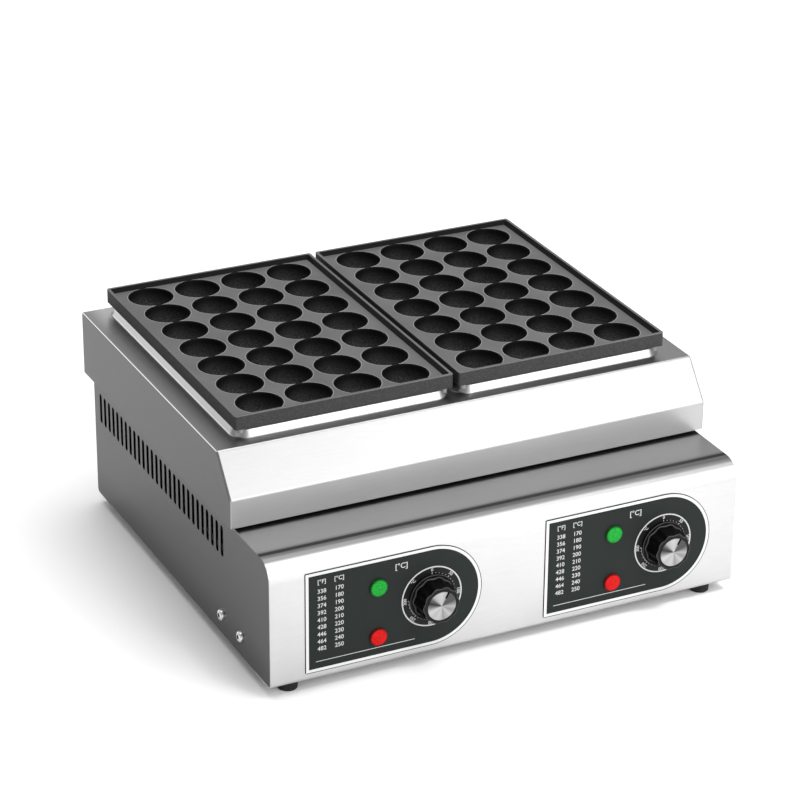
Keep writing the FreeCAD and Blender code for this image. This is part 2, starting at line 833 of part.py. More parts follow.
def heater_rack(side):
    """Two notched bars across the heat tray that carry the element, joined by a rail along each side."""
    x0, x1, _, _ = tray_walls(side)
    x0, x1 = x0 + tray_sheet + fit_gap, x1 - tray_sheet - fit_gap
    rows = row_y()
    bars_y = (rows[1] + row_pitch / 2, rows[-2] - row_pitch / 2)
    top = rack_top_z()
    low = tray_z + tray_sheet
    bars = [box(x0, x1, y - rack_bar / 2, y + rack_bar / 2, low, top) for y in bars_y]
    rails = [box(x, x + rack_rail_width, bars_y[0], bars_y[1], low, low + rack_bar) for x in (x0, x1 - rack_rail_width)]
    notches = []
    for x in column_x(side):
        start = (x, bars_y[0] - 5, tube_z)
        notches.append(cylinder(tube_radius + fit_gap, start, (0, 1, 0), bars_y[1] - bars_y[0] + 10))
        gap = tube_radius + fit_gap
        notches.append(box(x - gap, x + gap, bars_y[0] - 5, bars_y[1] + 5, tube_z, top + 1))
    return fuse(bars + rails).cut(notches)


def sensor(side):
    """A thermostat's bulb, lying on the rack between the middle columns, and its capillary tube."""
    x, z = plate_centre_x(side), sensor_z()
    rows = row_y()
    start = rows[1]
    bulb = cylinder(sensor_radius, (x, start, z), (0, 1, 0), sensor_length)
    back_of_body = face_y + housing_sheet + thermostat_plate_thickness + thermostat_depth
    down_y = (tray_walls(side)[2] + shield_y + housing_sheet) / 2
    bend = capillary_bend
    corners = [
        (V(x, start, z), 0),
        (V(x, down_y, z), bend),
        (V(x, down_y, shield_hole_z()), bend),
        (V(x, shield_y - 4 * bend, shield_hole_z()), bend),
        (V(dial_x(side), back_of_body + 4 * bend, dial_z), bend),
        (V(dial_x(side), back_of_body, dial_z), 0),
    ]
    return fuse([bulb, tube(corners, capillary_radius)])


# ---------------------------------------------------------------------------------------------------------
# Controls
# ---------------------------------------------------------------------------------------------------------


def control_film(side):
    """The panel's printed film: straight on the left, and round about the knob on the right."""
    x, r = dial_x(side), film_radius
    left = x - film_reach
    y = film_y
    edges = [
        Part.LineSegment(V(x, y, dial_z + r), V(left, y, dial_z + r)),
        Part.LineSegment(V(left, y, dial_z + r), V(left, y, dial_z - r)),
        Part.LineSegment(V(left, y, dial_z - r), V(x, y, dial_z - r)),
        Part.Arc(V(x, y, dial_z - r), V(x + r, y, dial_z), V(x, y, dial_z + r)),
    ]
    sheet = Part.Face(Part.Wire([edge.toShape() for edge in edges])).extrude(V(0, film_thickness, 0))
    left_edges = [e for e in sheet.Edges if abs(e.BoundBox.Center.x - left) < 1e-3 and e.BoundBox.YLength > 0.1]
    sheet = sheet.makeFillet(film_corner_radius, left_edges)
    return sheet.cut(panel_holes(side, y - 1, film_thickness + 2))


def lens(x, z):
    """A lamp's coloured lens: a low dome on a short rim, standing on the film."""
    rim_front = lens_height - lens_dome
    ball = (lens_radius**2 + lens_dome**2) / (2 * lens_dome)
    drop = ball - math.sqrt(ball**2 - lens_radius**2 / 4)
    middle = V(lens_radius / 2, -lens_height + drop, 0)
    edges = [
        Part.LineSegment(V(0, 0, 0), V(lens_radius, 0, 0)),
        Part.LineSegment(V(lens_radius, 0, 0), V(lens_radius, -rim_front, 0)),
        Part.Arc(V(lens_radius, -rim_front, 0), middle, V(0, -lens_height, 0)),
        Part.LineSegment(V(0, -lens_height, 0), V(0, 0, 0)),
    ]
    turned = Part.Face(Part.Wire([edge.toShape() for edge in edges])).revolve(V(0, 0, 0), V(0, 1, 0), 360)
    turned.translate(V(x, film_y, z))
    return turned


def lamp_body(x, z):
    """A lamp's holder behind its lens, held by two snap wings and wired at two blades."""
    neck = cylinder(lamp_neck_radius, (x, film_y, z), (0, 1, 0), lamp_body_length)
    wing_y = face_y + housing_sheet + fit_gap
    wings = Part.makeCone(lamp_neck_radius + 1.4, lamp_neck_radius, 6, V(x, wing_y, z), V(0, 1, 0))
    wings = wings.common(box(x - 9, x + 9, wing_y, wing_y + 6, z - 2.5, z + 2.5))
    end = film_y + lamp_body_length
    blades = [box(x + s * 3 - 0.4, x + s * 3 + 0.4, end, end + lamp_blade_length, z - 2.4, z + 2.4) for s in (-1, 1)]
    return fuse([neck, wings] + blades)


def knob_turned(radius_profile, x):
    """A solid turned about the knob's axis, from (radius, distance ahead of the front face) corners."""
    points = [V(r, -d, 0) for r, d in radius_profile]
    face = Part.Face(Part.makePolygon(points + points[:1]))
    solid = face.revolve(V(0, 0, 0), V(0, 1, 0), 360)
    solid.translate(V(x, face_y, dial_z))
    return solid


def shaft_section(radius, x, y, length):
    """A round bar with one flat, along Y."""
    bar = cylinder(radius, (x, y, dial_z), (0, 1, 0), length)
    flat = radius - shaft_flat
    return bar.cut(box(x - radius, x + radius, y - 1, y + length + 1, dial_z + flat, dial_z + radius + 1))


def knob(side):
    """The knob: a round flange and a tall grip with scallops, bored for the shaft."""
    x = dial_x(side)
    flange_back = film_thickness + knob_air_gap
    flange_front = flange_back + knob_flange_thickness
    grip_front = knob_reach - cap_proud
    chamfer = grip_edge_chamfer
    edge = knob_flange_thickness / 3
    flange = knob_turned(
        [(0, flange_back), (knob_flange_radius, flange_back), (knob_flange_radius, flange_front - edge),
         (knob_flange_radius - edge, flange_front), (0, flange_front)], x)
    grip = knob_turned(
        [(0, flange_front), (grip_radius, flange_front), (grip_front_radius, grip_front - chamfer),
         (grip_front_radius - chamfer, grip_front), (0, grip_front)], x)
    flutes = []
    for i in range(grip_lobes):
        turn = math.radians((i + 0.5) * 360 / grip_lobes)
        reach = grip_radius + grip_flute_radius - grip_flute_depth
        place = (x + reach * math.sin(turn), face_y - flange_front, dial_z + reach * math.cos(turn))
        flutes.append(cylinder(grip_flute_radius, place, (0, -1, 0), knob_reach))
    cap_seat = cylinder(
        cap_radius + fit_gap, (x, face_y - knob_reach + cap_thickness + fit_gap, dial_z), (0, -1, 0), knob_reach)
    bore_start = face_y - flange_back - shaft_depth_in_knob
    bore = shaft_section(shaft_radius + shaft_clearance, x, bore_start, shaft_depth_in_knob + 1)
    return fuse([flange, grip.cut(flutes)]).cut([cap_seat, bore])


def knob_cap(side):
    """The thin spun disc let into the grip's end, with its pointer cut through the edge."""
    x = dial_x(side)
    y = face_y - knob_reach
    disc = cylinder(cap_radius, (x, y, dial_z), (0, 1, 0), cap_thickness)
    mark = box(-cap_mark_width / 2, cap_mark_width / 2, 0, 0.5, cap_radius - cap_mark_length, cap_radius + 1)
    mark.rotate(V(0, 0, 0), V(0, 1, 0), cap_mark_angle)
    mark.translate(V(x, y, dial_z))
    return disc.cut(mark)


def thermostat_shaft(side):
    x = dial_x(side)
    start = face_y - film_thickness - knob_air_gap - shaft_depth_in_knob + fit_gap
    end = face_y + housing_sheet + shaft_depth_in_body
    return shaft_section(shaft_radius, x, start, end - start)


def thermostat(side):
    """The capillary thermostat behind the face: mounting plate, bush, body and blades."""
    x = dial_x(side)
    y = face_y + housing_sheet
    back = y + thermostat_plate_thickness
    wide, tall = thermostat_plate_width / 2, thermostat_plate_height / 2
    plate = box(x - wide, x + wide, y, back, dial_z - tall, dial_z + tall)
    wide, tall = thermostat_width / 2, thermostat_height / 2
    body = slab(x - wide, x + wide, -tall, tall, 4, 0, thermostat_depth)
    body.translate(V(-x, 0, 0))
    body.rotate(V(0, 0, 0), V(1, 0, 0), -90)
    body.translate(V(x, back, dial_z))
    bush = cylinder(thermostat_bush_radius, (x, face_y - film_thickness, dial_z), (0, 1, 0), 3)
    end = back + thermostat_depth
    blades = [
        box(x + sx * 14 - 3, x + sx * 14 + 3, end, end + 8, dial_z + sz * 9 - 0.4, dial_z + sz * 9 + 0.4)
        for sx in (-1, 1) for sz in (-1, 1)
    ]
    bore = cylinder(shaft_radius + shaft_clearance, (x, face_y - 2, dial_z), (0, 1, 0),
                    housing_sheet + shaft_depth_in_body + 2 + fit_gap)
    threads = [cylinder(screw_radius + thread_clearance, (sx, y - 1, z), (0, 1, 0), screw_length + 2)
               for sx, z in thermostat_screw_places(side)]
    return fuse([plate, body, bush] + blades).cut([bore] + threads)


def thermostat_screws():
    """Flush screws through the face, hidden under the film, that hold the thermostats."""
    return [countersink(x, z, 0, screw_length) for side in SIDES.values() for x, z in thermostat_screw_places(side)]


# ---------------------------------------------------------------------------------------------------------
# Power entry, feet and fasteners
# ---------------------------------------------------------------------------------------------------------


def cord_bushing():
    """The bushing that a power cord passes through: flange and nose outside, threaded neck inside."""
    z = housing_z + bushing_height
    y = housing_back_y
    flange = cylinder(bushing_flange_radius, (bushing_x, y, z), (0, 1, 0), bushing_flange_height)
    nose = Part.makeCone(bushing_flange_radius - 1.5, bushing_nose_radius, bushing_nose_height,
                         V(bushing_x, y + bushing_flange_height, z), V(0, 1, 0))
    neck = cylinder(bushing_neck_radius, (bushing_x, y, z), (0, -1, 0), housing_sheet + bushing_nut_height + 3)
    length = bushing_flange_height + bushing_nose_height + housing_sheet + bushing_nut_height + 5
    start = (bushing_x, y + bushing_flange_height + bushing_nose_height + 1, z)
    return fuse([flange, nose, neck]).cut(cylinder(cord_radius, start, (0, -1, 0), length))


def bushing_nut():
    z = housing_z + bushing_height
    y = housing_back_y - housing_sheet
    nut = hexagon(bushing_nut_radius, (bushing_x, y, z), (0, -1, 0), bushing_nut_height)
    bore = cylinder(bushing_neck_radius + thread_clearance, (bushing_x, y + 1, z), (0, -1, 0), bushing_nut_height + 2)
    return nut.cut(bore)


def block_way_x():
    pitch = block_length / block_ways
    return [(i - (block_ways - 1) / 2) * pitch for i in range(block_ways)]


def terminal_block():
    """A three-way block on the rail, with barriers between its ways."""
    y = rail_middle_y()
    z = rail_z + housing_sheet
    half = block_length / 2
    body = box(-half, half, y - block_depth / 2, y + block_depth / 2, z, z + block_height)
    cuts = []
    pitch = block_length / block_ways
    for x in block_way_x():
        width = pitch / 2 - 1.2
        cuts.append(box(x - width, x + width, y - block_depth, y - block_depth / 2 + 5, z + 5, z + block_height + 1))
        cuts.append(box(x - width, x + width, y + block_depth / 2 - 5, y + block_depth, z + 5, z + block_height + 1))
        cuts.append(cylinder(screw_radius + 1.2, (x, y, z + 6), (0, 0, 1), block_height))
    return body.cut(cuts)


def terminal_screws():
    z = rail_z + housing_sheet + 6 + fit_gap
    y = rail_middle_y()
    return [cylinder(screw_radius + 1.1, (x, y, z), (0, 0, 1), block_height - 9) for x in block_way_x()]


def earth_screw():
    z = rail_z + housing_sheet
    screw = pan_screw((0, 0, 0), (0, 0, -1), length=0.8 + housing_sheet)
    washer = cylinder(screw_head_radius + 1.2, (0, 0, 0), (0, 0, 1), 0.8)
    screw.translate(V(0, 0, 0.8))
    earth = fuse([screw, washer])
    earth.translate(V(earth_x(), rail_middle_y(), z))
    return earth


def foot(x, y):
    """A tapered rubber foot with a recess for its bolt."""
    body = Part.makeCone(foot_bottom_radius, foot_top_radius, foot_height, V(x, y, 0), V(0, 0, 1))
    recess = cylinder(foot_recess_radius, (x, y, 0), (0, 0, 1), foot_recess_depth)
    hole = cylinder(screw_radius + hole_clearance, (x, y, 0), (0, 0, 1), foot_height)
    return body.cut([recess, hole])


def foot_bolts():
    top = bottom_plate_z + housing_sheet + nut_height
    length = top - foot_recess_depth
    return [pan_screw((x, y, foot_recess_depth), (0, 0, 1), length=length) for x, y in foot_places().values()]


def foot_nuts():
    nuts = []
    z = bottom_plate_z + housing_sheet
    for x, y in foot_places().values():
        nut = hexagon(nut_radius, (x, y, z), (0, 0, 1), nut_height)
        nuts.append(nut.cut(cylinder(screw_radius + thread_clearance, (x, y, z - 1), (0, 0, 1), nut_height + 2)))
    return nuts


def side_screws():
    places = [(side, y, z) for side in SIDES.values() for y, z in side_screw_places()]
    return [pan_screw((side * housing_half_width, y, z), (-side, 0, 0)) for side, y, z in places]


def back_screws():
    return [pan_screw((x, housing_back_y, z), (0, -1, 0)) for x, z in back_screw_places()]


def front_screws():
    length = rail_z - housing_z
    return [pan_screw((x, y, housing_z), (0, 0, 1), length=length) for x, y in front_bolt_places()]


# ---------------------------------------------------------------------------------------------------------
# All pieces
# ---------------------------------------------------------------------------------------------------------


def save_zone(name, side):
    """Everything that the machine has once for each plate."""
    save(f"{name}_cup_plate", cup_plate(side))
    save(f"{name}_heater", heater(side))
    save_group(f"{name}_heater_insulators", heater_insulators(side))
    save(f"{name}_heater_rack", heater_rack(side))
    save(f"{name}_heat_tray", heat_tray(side))
    save(f"{name}_sensor", sensor(side))
    save(f"{name}_control_film", control_film(side))
    save(f"{name}_thermostat", thermostat(side))
    save(f"{name}_thermostat_shaft", thermostat_shaft(side))
    save(f"{name}_knob", knob(side))
    save(f"{name}_knob_cap", knob_cap(side))
    for lamp, (x, z) in lamp_places(side).items():
        save(f"{name}_{lamp}_lamp_lens", lens(x, z))
        save(f"{name}_{lamp}_lamp_body", lamp_body(x, z))
    save(f"{name}_side_panel", side_panel(side))


def main():
    os.makedirs("parts", exist_ok=True)
    save("top_cover", top_cover())
    save("front_panel", front_panel())
    save("back_panel", back_panel())
    save("bottom_plate", bottom_plate())
    save("component_rail", component_rail())
    save("heat_shield", heat_shield())
    for name, side in SIDES.items():
        save_zone(name, side)
    save("cord_bushing", cord_bushing())
    save("bushing_nut", bushing_nut())
    save("terminal_block", terminal_block())
    save_group("terminal_screws", terminal_screws())
    save("earth_screw", earth_screw())
    for place, (x, y) in foot_places().items():
        save(f"{place}_foot", foot(x, y))
    save_group("foot_bolts", foot_bolts())
    save_group("foot_nuts", foot_nuts())
    save_group("side_screws", side_screws())
    save_group("back_screws", back_screws())
    save_group("front_screws", front_screws())
    save_group("cover_nuts", cover_nuts())
    save_group("thermostat_screws", thermostat_screws())


main()
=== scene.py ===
# %% [markdown]
# # A two-zone takoyaki maker
# The machine stands on a counter: two cast plates of round cups on a housing of bent stainless sheet, with a knob
# and two lamps for each plate. The CAD model gives every piece its place and size. This lesson adds what CAD leaves
# out: the brushed steel, the worn coating, the printed panels, the knobs' soft edges and the light, and it paints
# further light and shade into many of the finishes.
# Lengths are in metres.

import math

import bpy
from mathutils import Matrix, Vector


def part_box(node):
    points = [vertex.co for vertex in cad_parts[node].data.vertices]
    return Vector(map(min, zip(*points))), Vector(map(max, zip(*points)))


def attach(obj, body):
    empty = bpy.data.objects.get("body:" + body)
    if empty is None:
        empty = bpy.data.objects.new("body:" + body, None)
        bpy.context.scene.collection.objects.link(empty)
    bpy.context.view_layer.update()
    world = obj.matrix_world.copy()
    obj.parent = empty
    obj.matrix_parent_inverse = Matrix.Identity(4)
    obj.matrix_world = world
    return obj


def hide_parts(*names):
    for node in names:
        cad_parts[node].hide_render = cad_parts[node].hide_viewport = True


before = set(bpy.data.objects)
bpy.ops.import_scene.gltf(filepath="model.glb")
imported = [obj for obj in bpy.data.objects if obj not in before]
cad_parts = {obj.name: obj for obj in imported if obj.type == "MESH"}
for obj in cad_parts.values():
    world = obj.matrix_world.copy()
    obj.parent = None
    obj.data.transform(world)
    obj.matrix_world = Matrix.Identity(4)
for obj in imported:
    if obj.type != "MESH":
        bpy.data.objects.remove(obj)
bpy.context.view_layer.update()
MM = 0.001
SIDES = ("left", "right")
print("pieces from the CAD model:", len(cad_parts))

# %% [markdown]
# ## Where the controls are
# Each control panel is a film with a straight left end and a half-round right end. The knob's own box gives the
# axis that the dial is printed round, and the film's box gives its outline, so nothing has to be typed twice.


# %% Find the panels
def panel_facts(side):
    film_low, film_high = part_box(f"{side}_control_film")
    knob_low, knob_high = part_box(f"{side}_knob")
    radius = (film_high.z - film_low.z) / 2
    return {"x": (knob_low.x + knob_high.x) / 2, "z": (film_low.z + film_high.z) / 2, "front": film_low.y,
            "left": film_low.x, "round_x": film_high.x - radius, "radius": radius,
            "knob_back": knob_high.y, "knob_length": knob_high.y - knob_low.y}


PANELS = {side: panel_facts(side) for side in SIDES}
for side in SIDES:
    print(side, {key: round(value / MM, 2) for key, value in PANELS[side].items()})

# %% [markdown]
# ## The camera
# A long lens some two and a half metres away, to the left of the machine and a little above it. The three angles
# turn the view: yaw about the vertical, pitch towards the counter, and a small roll. Blender's camera looks
# along its own -Z with +Y up, so the rows of the turned frame become its columns with two signs changed.

# %% Camera
CAMERA_PLACE = Vector((-1.0104, -2.0474, 1.2164))
CAMERA_YAW = 0.4551
CAMERA_PITCH = 0.4406
CAMERA_ROLL = -0.0082
CAMERA_LENS = 134.5


def camera_matrix():
    sin_yaw, cos_yaw = math.sin(CAMERA_YAW), math.cos(CAMERA_YAW)
    sin_pitch, cos_pitch = math.sin(CAMERA_PITCH), math.cos(CAMERA_PITCH)
    forward = Vector((sin_yaw * cos_pitch, cos_yaw * cos_pitch, -sin_pitch))
    right = Vector((cos_yaw, -sin_yaw, 0))
    down = forward.cross(right)
    cos_roll, sin_roll = math.cos(CAMERA_ROLL), math.sin(CAMERA_ROLL)
    turned_right = right * cos_roll + down * sin_roll
    turned_down = down * cos_roll - right * sin_roll
    columns = Matrix((turned_right, -turned_down, -forward)).transposed()
    return Matrix.Translation(CAMERA_PLACE) @ columns.to_4x4()


camera = bpy.data.objects.new("camera", bpy.data.cameras.new("camera"))
bpy.context.scene.collection.objects.link(camera)
camera.data.lens = CAMERA_LENS
camera.data.clip_end = 50
camera.matrix_world = camera_matrix()
bpy.context.scene.camera = camera
print("camera at", tuple(round(value, 3) for value in camera.location))

# %% [markdown]
# ## Floor, lamps and world
# Polished sheet shows what stands round it, so a steel machine is lit by large pale surfaces. The floor is one.
# A wide lamp in front is what the sloped edges show, a low one lights the upright strips, one overhead keeps the
# floor white, and a weak one behind gives the flat tops a sheen. Two small ones on the left draw the bright lines
# along the sheet's bends. A soft pool of light lies on the floor in front, where the machine's face mirrors it.
# The world is a dim neutral grey.

# %% Floor
FLOOR_SIZE = 14.0
FLOOR_LEVEL = 0.93


def add_floor():
    bpy.ops.mesh.primitive_plane_add(size=FLOOR_SIZE, location=(0, 0, 0))
    floor = bpy.context.object
    floor.name = "floor"
    material = bpy.data.materials.new("pale_floor")
    material.use_nodes = True
    shader = material.node_tree.nodes["Principled BSDF"]
    shader.inputs["Base Color"].default_value = (FLOOR_LEVEL, FLOOR_LEVEL, FLOOR_LEVEL, 1)
    shader.inputs["Roughness"].default_value = 0.9
    shader.inputs["Specular IOR Level"].default_value = 0.1
    floor.data.materials.append(material)
    return floor


floor = add_floor()
print("floor side:", floor.dimensions.x)


# %% Lamps and world
WORLD_LEVEL = 0.38


def hang(name, kind, place, target, power):
    """Adds a lamp that looks at its target."""
    lamp = bpy.data.objects.new(name, bpy.data.lights.new(name, kind))
    bpy.context.scene.collection.objects.link(lamp)
    lamp.data.energy = power
    lamp.location = place
    lamp.rotation_euler = (Vector(target) - Vector(place)).to_track_quat("-Z", "Y").to_euler()
    return lamp


def add_lamp(name, place, target, size, power):
    """A pale sheet of light."""
    lamp = hang(name, "AREA", place, target, power)
    lamp.data.shape = "RECTANGLE"
    lamp.data.size, lamp.data.size_y = size
    return lamp


def add_pool(name, place, target, power, cone, soft_radius):
    """A spot with a soft edge, for a pool of light on the floor."""
    lamp = hang(name, "SPOT", place, target, power)
    lamp.data.spot_size = math.radians(cone)
    lamp.data.spot_blend = 1.0
    lamp.data.shadow_soft_size = soft_radius
    return lamp


def set_world(level):
    world = bpy.data.worlds.new("studio")
    world.use_nodes = True
    background = world.node_tree.nodes["Background"]
    background.inputs["Color"].default_value = (level, level, level, 1)
    background.inputs["Strength"].default_value = 1.0
    bpy.context.scene.world = world


LAMPS = [
    add_lamp("front_lamp", (1.6, -2.6, 2.2), (0, -0.1, 0.1), (3.0, 2.0), 58),
    add_lamp("low_lamp", (0.9, -3.0, 0.80), (0, -0.1, 0.15), (3.4, 1.5), 36),
    add_lamp("top_lamp", (0.3, 0.5, 3.2), (0, 0.3, 0), (3.0, 3.0), 96),
    add_lamp("back_lamp", (1.2, 2.8, 1.7), (0, 0, 0.15), (3.0, 1.6), 10),
    add_lamp("left_back_lamp", (-1.6, 2.6, 0.85), (0, 0, 0.15), (1.5, 1.6), 11),
    add_lamp("left_lamp", (-2.8, -0.8, 0.6), (0, 0, 0.12), (0.8, 0.8), 4),
    add_pool("floor_pool", (0.45, -1.3, 2.3), (0.15, -0.55, 0), 260, 23, 0.25),
]
set_world(WORLD_LEVEL)
bpy.context.scene.view_settings.view_transform = "Standard"
print("lamps:", {lamp.name: lamp.data.energy for lamp in LAMPS})

# %% [markdown]
# ## Helpers for finishes
# Every finish is a small tree of nodes. These helpers keep the trees short: one adds a node and fills its
# inputs, a few are for sums and colours, and another fills a shader's inputs.


# %% Node helpers
def new_tree(name):
    material = bpy.data.materials.new(name)
    material.use_nodes = True
    return material, material.node_tree, material.node_tree.nodes["Principled BSDF"]


def put(tree, value, socket):
    """Gives an input a plain value or another node's output."""
    if isinstance(value, bpy.types.NodeSocket):
        tree.links.new(value, socket)
    else:
        socket.default_value = value


def add_node(tree, kind, inputs=None, **settings):
    """A node with its settings and inputs; each input is a plain value or another node's output."""
    node = tree.nodes.new(f"ShaderNode{kind}")
    for key, value in settings.items():
        setattr(node, key, value)
    for key, value in (inputs or {}).items():
        put(tree, value, node.inputs[key])
    return node


def sum_of(tree, operation, *terms):
    """One sum of one or two terms; each is a plain number or another node's output."""
    return add_node(tree, "Math", dict(enumerate(terms)), operation=operation).outputs[0]


def product(tree, first, second):
    return sum_of(tree, "MULTIPLY", first, second)


def difference(tree, first, second):
    return sum_of(tree, "SUBTRACT", first, second)


def apart(tree, first, second):
    """How far apart two numbers are."""
    return sum_of(tree, "ABSOLUTE", difference(tree, first, second))


def length_of(tree, first, second):
    """How far two moves at right angles reach together."""
    arm = add_node(tree, "CombineXYZ", {"X": first, "Y": second}).outputs[0]
    return add_node(tree, "VectorMath", {0: arm}, operation="LENGTH").outputs["Value"]


def from_nearest(tree, value, start, pitch, last):
    """How far a number is from the nearest of a row, whose places are counted from 0 to the last."""
    along = difference(tree, value, start)
    index = sum_of(tree, "ROUND", sum_of(tree, "DIVIDE", along, pitch))
    index = sum_of(tree, "MINIMUM", sum_of(tree, "MAXIMUM", index, 0), last)
    return difference(tree, along, product(tree, index, pitch))


def between(tree, value, low, high, start=0.0, end=1.0):
    """Runs from start to end as the value goes from low to high, and stays there."""
    inputs = {"Value": value, "From Min": low, "From Max": high, "To Min": start, "To Max": end}
    return add_node(tree, "MapRange", inputs).outputs["Result"]


def mix_colours(tree, factor, first, second):
    """Mixes two colours; each is a plain colour or another node's output."""
    first, second = [(*value, 1) if isinstance(value, tuple) else value for value in (first, second)]
    return add_node(tree, "Mix", {0: factor, 6: first, 7: second}, data_type="RGBA").outputs[2]


def colour_ramp(tree, factor, stops):
    ramp = add_node(tree, "ValToRGB", {"Fac": factor})
    elements = ramp.color_ramp.elements
    while len(elements) < len(stops):
        elements.new(0.5)
    for element, (position, colour) in zip(elements, stops):
        element.position = position
        element.color = (*colour, 1)
    return ramp.outputs["Color"]


def grey_ramp(tree, factor, start, dark, end, light):
    """A dark grey up to the start, a lighter one from the end, and all greys from one to the other."""
    return colour_ramp(tree, factor, [(start, grey(dark)), (end, grey(light))])


def scaled(tree, colour, factor):
    """A colour made lighter or darker by a factor."""
    return add_node(tree, "VectorMath", {0: colour, "Scale": factor}, operation="SCALE").outputs[0]


def noise(tree, place, scale, detail=3.0, roughness=0.5):
    inputs = {"Vector": place, "Scale": scale, "Detail": detail, "Roughness": roughness}
    return add_node(tree, "TexNoise", inputs).outputs["Fac"]


def bump(tree, shader, height, strength, distance):
    node = add_node(tree, "Bump", {"Strength": strength, "Distance": distance, "Height": height})
    put(tree, node.outputs["Normal"], shader.inputs["Normal"])


def set_shader(tree, shader, **inputs):
    for key, value in inputs.items():
        put(tree, value, shader.inputs[key.replace("_", " ")])


def object_coordinates(tree):
    return add_node(tree, "TexCoord").outputs["Object"]


def place_of(tree):
    """A point's place in the piece's own axes, as three numbers."""
    return add_node(tree, "SeparateXYZ", {"Vector": object_coordinates(tree)}).outputs


def own_normal(tree):
    """The surface's normal in the piece's own axes, as three numbers."""
    normal = add_node(tree, "TexCoord").outputs["Normal"]
    return add_node(tree, "SeparateXYZ", {"Vector": normal}).outputs


def grey(value):
    return (value, value, value)


def shades(colour, *factors):
    """The same colour, darker or lighter by each factor."""
    return [tuple(min(1.0, channel * factor) for channel in colour) for factor in factors]


def dress(nodes, material):
    """Gives CAD pieces a finish."""
    for name in nodes:
        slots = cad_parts[name].data.materials
        slots.clear()
        slots.append(material)


def both(*names):
    return [f"{side}_{name}" for side in SIDES for name in names]


print("helpers ready")

# %% [markdown]
# ## Grain, shared by every sheet
# Stainless sheet is brushed along its length: very fine lines, long one way and only a fraction of a millimetre
# wide the other way. A noise texture stretched that way gives them. On the machine's sides the lines run from
# front to back, and everywhere else they run across. The surface's own normal tells the two apart, so one
# group serves every sheet, and its values are set where it is placed. Broad clouds of tone stand for the way
# that rolled sheet never lies perfectly flat.


# %% Brushed grain group
LONG_WAY, SHORT_WAY = 60, 2200  # the noise's scale along and across the lines


def group_socket(group, name, direction, kind="Float", value=None):
    socket = group.interface.new_socket(name=name, in_out=direction, socket_type=f"NodeSocket{kind}")
    if value is not None:
        socket.default_value = value


def stretched_noise(tree, coordinates, scale, detail):
    mapping = add_node(tree, "Mapping", {"Scale": scale, "Vector": coordinates})
    return noise(tree, mapping.outputs["Vector"], 1.0, detail, 0.6)


def make_grain_group():
    group = bpy.data.node_groups.new("brushed_grain", "ShaderNodeTree")
    for name, value in (("Depth", 0.1), ("Roughness", 0.3), ("Spread", 0.08)):
        group_socket(group, name, "INPUT", value=value)
    for name, kind in (("Tone", "Float"), ("Roughness", "Float"), ("Normal", "Vector")):
        group_socket(group, name, "OUTPUT", kind)
    start = group.nodes.new("NodeGroupInput")
    place = object_coordinates(group)
    across = stretched_noise(group, place, (LONG_WAY, SHORT_WAY, SHORT_WAY), 3)
    along = stretched_noise(group, place, (SHORT_WAY, LONG_WAY, SHORT_WAY), 3)
    is_side = sum_of(group, "GREATER_THAN", sum_of(group, "ABSOLUTE", own_normal(group)["X"]), 0.7)
    grain = add_node(group, "Mix", {"Factor": is_side, "A": across, "B": along}).outputs["Result"]
    cloud = noise(group, place, 9.0, 2.0)
    spread = product(group, difference(group, grain, 0.5), start.outputs["Spread"])
    rough = sum_of(group, "ADD", spread, start.outputs["Roughness"])
    relief = add_node(group, "Bump", {"Distance": 0.00002, "Height": grain, "Strength": start.outputs["Depth"]})
    tone = add_node(group, "Mix", {"Factor": 0.35, "A": grain, "B": cloud})
    end = group.nodes.new("NodeGroupOutput")
    ends = {"Tone": tone.outputs["Result"], "Roughness": rough, "Normal": relief.outputs["Normal"]}
    for name, value in ends.items():
        put(group, value, end.inputs[name])
    return group


GRAIN = make_grain_group()
print("group nodes:", len(GRAIN.nodes))

# %% [markdown]
# ## Painted light and shade on the sheets
# The outer sheets' tones are painted light and shade, laid over their grain. Faces are toned by the way they point,
# and the sides are painted darker, as shade, than the tops and the front. The squares of the normal's three parts
# add up to one, and weigh a tone for each direction. The cover's deck carries a painted reflection that goes from
# light to dark across the machine, with a darker painted strip along its left edge. Its side bends carry a painted
# highlight, and its raised collars are painted brighter. The sides have painted shade towards the foot, and painted
# shade on their vents' walls and edges. On the front sheet the tone follows the bend as painted reflections, with
# one dark line where the ledge starts to turn.


# %% Tones of the sheets
def facing_tone(tree, tones):
    """Blends the painted light and shade of faces that point sideways, to front or back, and up or down."""
    normal = own_normal(tree)
    total = 0.0
    for axis, tone in zip("XYZ", tones):
        share = product(tree, normal[axis], normal[axis])
        total = sum_of(tree, "ADD", product(tree, share, tone), total)
    return total


def blend(tree, factor, first, second):
    """Goes from the first number to the second; each is a plain number or another node's output."""
    return sum_of(tree, "ADD", product(tree, factor, difference(tree, second, first)), first)


# %% Painted light on the cover
CAD_COLLAR_RISE = 4 * MM
DECK_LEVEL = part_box("top_cover")[1].z - CAD_COLLAR_RISE
# All these tones are painted light and shade: darker sides, a reflection across the deck, a strip along its left
# edge, brighter collars and a highlight on the side bends
COVER_FACING_SHADE = (0.26, 1.10, 0.92)
DECK_REFLECTION_ENDS = (0.85, 0.4)
STRIP_START, STRIP_END = 4 * MM, 17 * MM  # the strip of deck along the left edge
STRIP_PAINTED_LIGHT = (0.75, 1.4)
COLLAR_PAINTED_LIGHT = 1.25
SIDE_BEND_HIGHLIGHT = 1.5


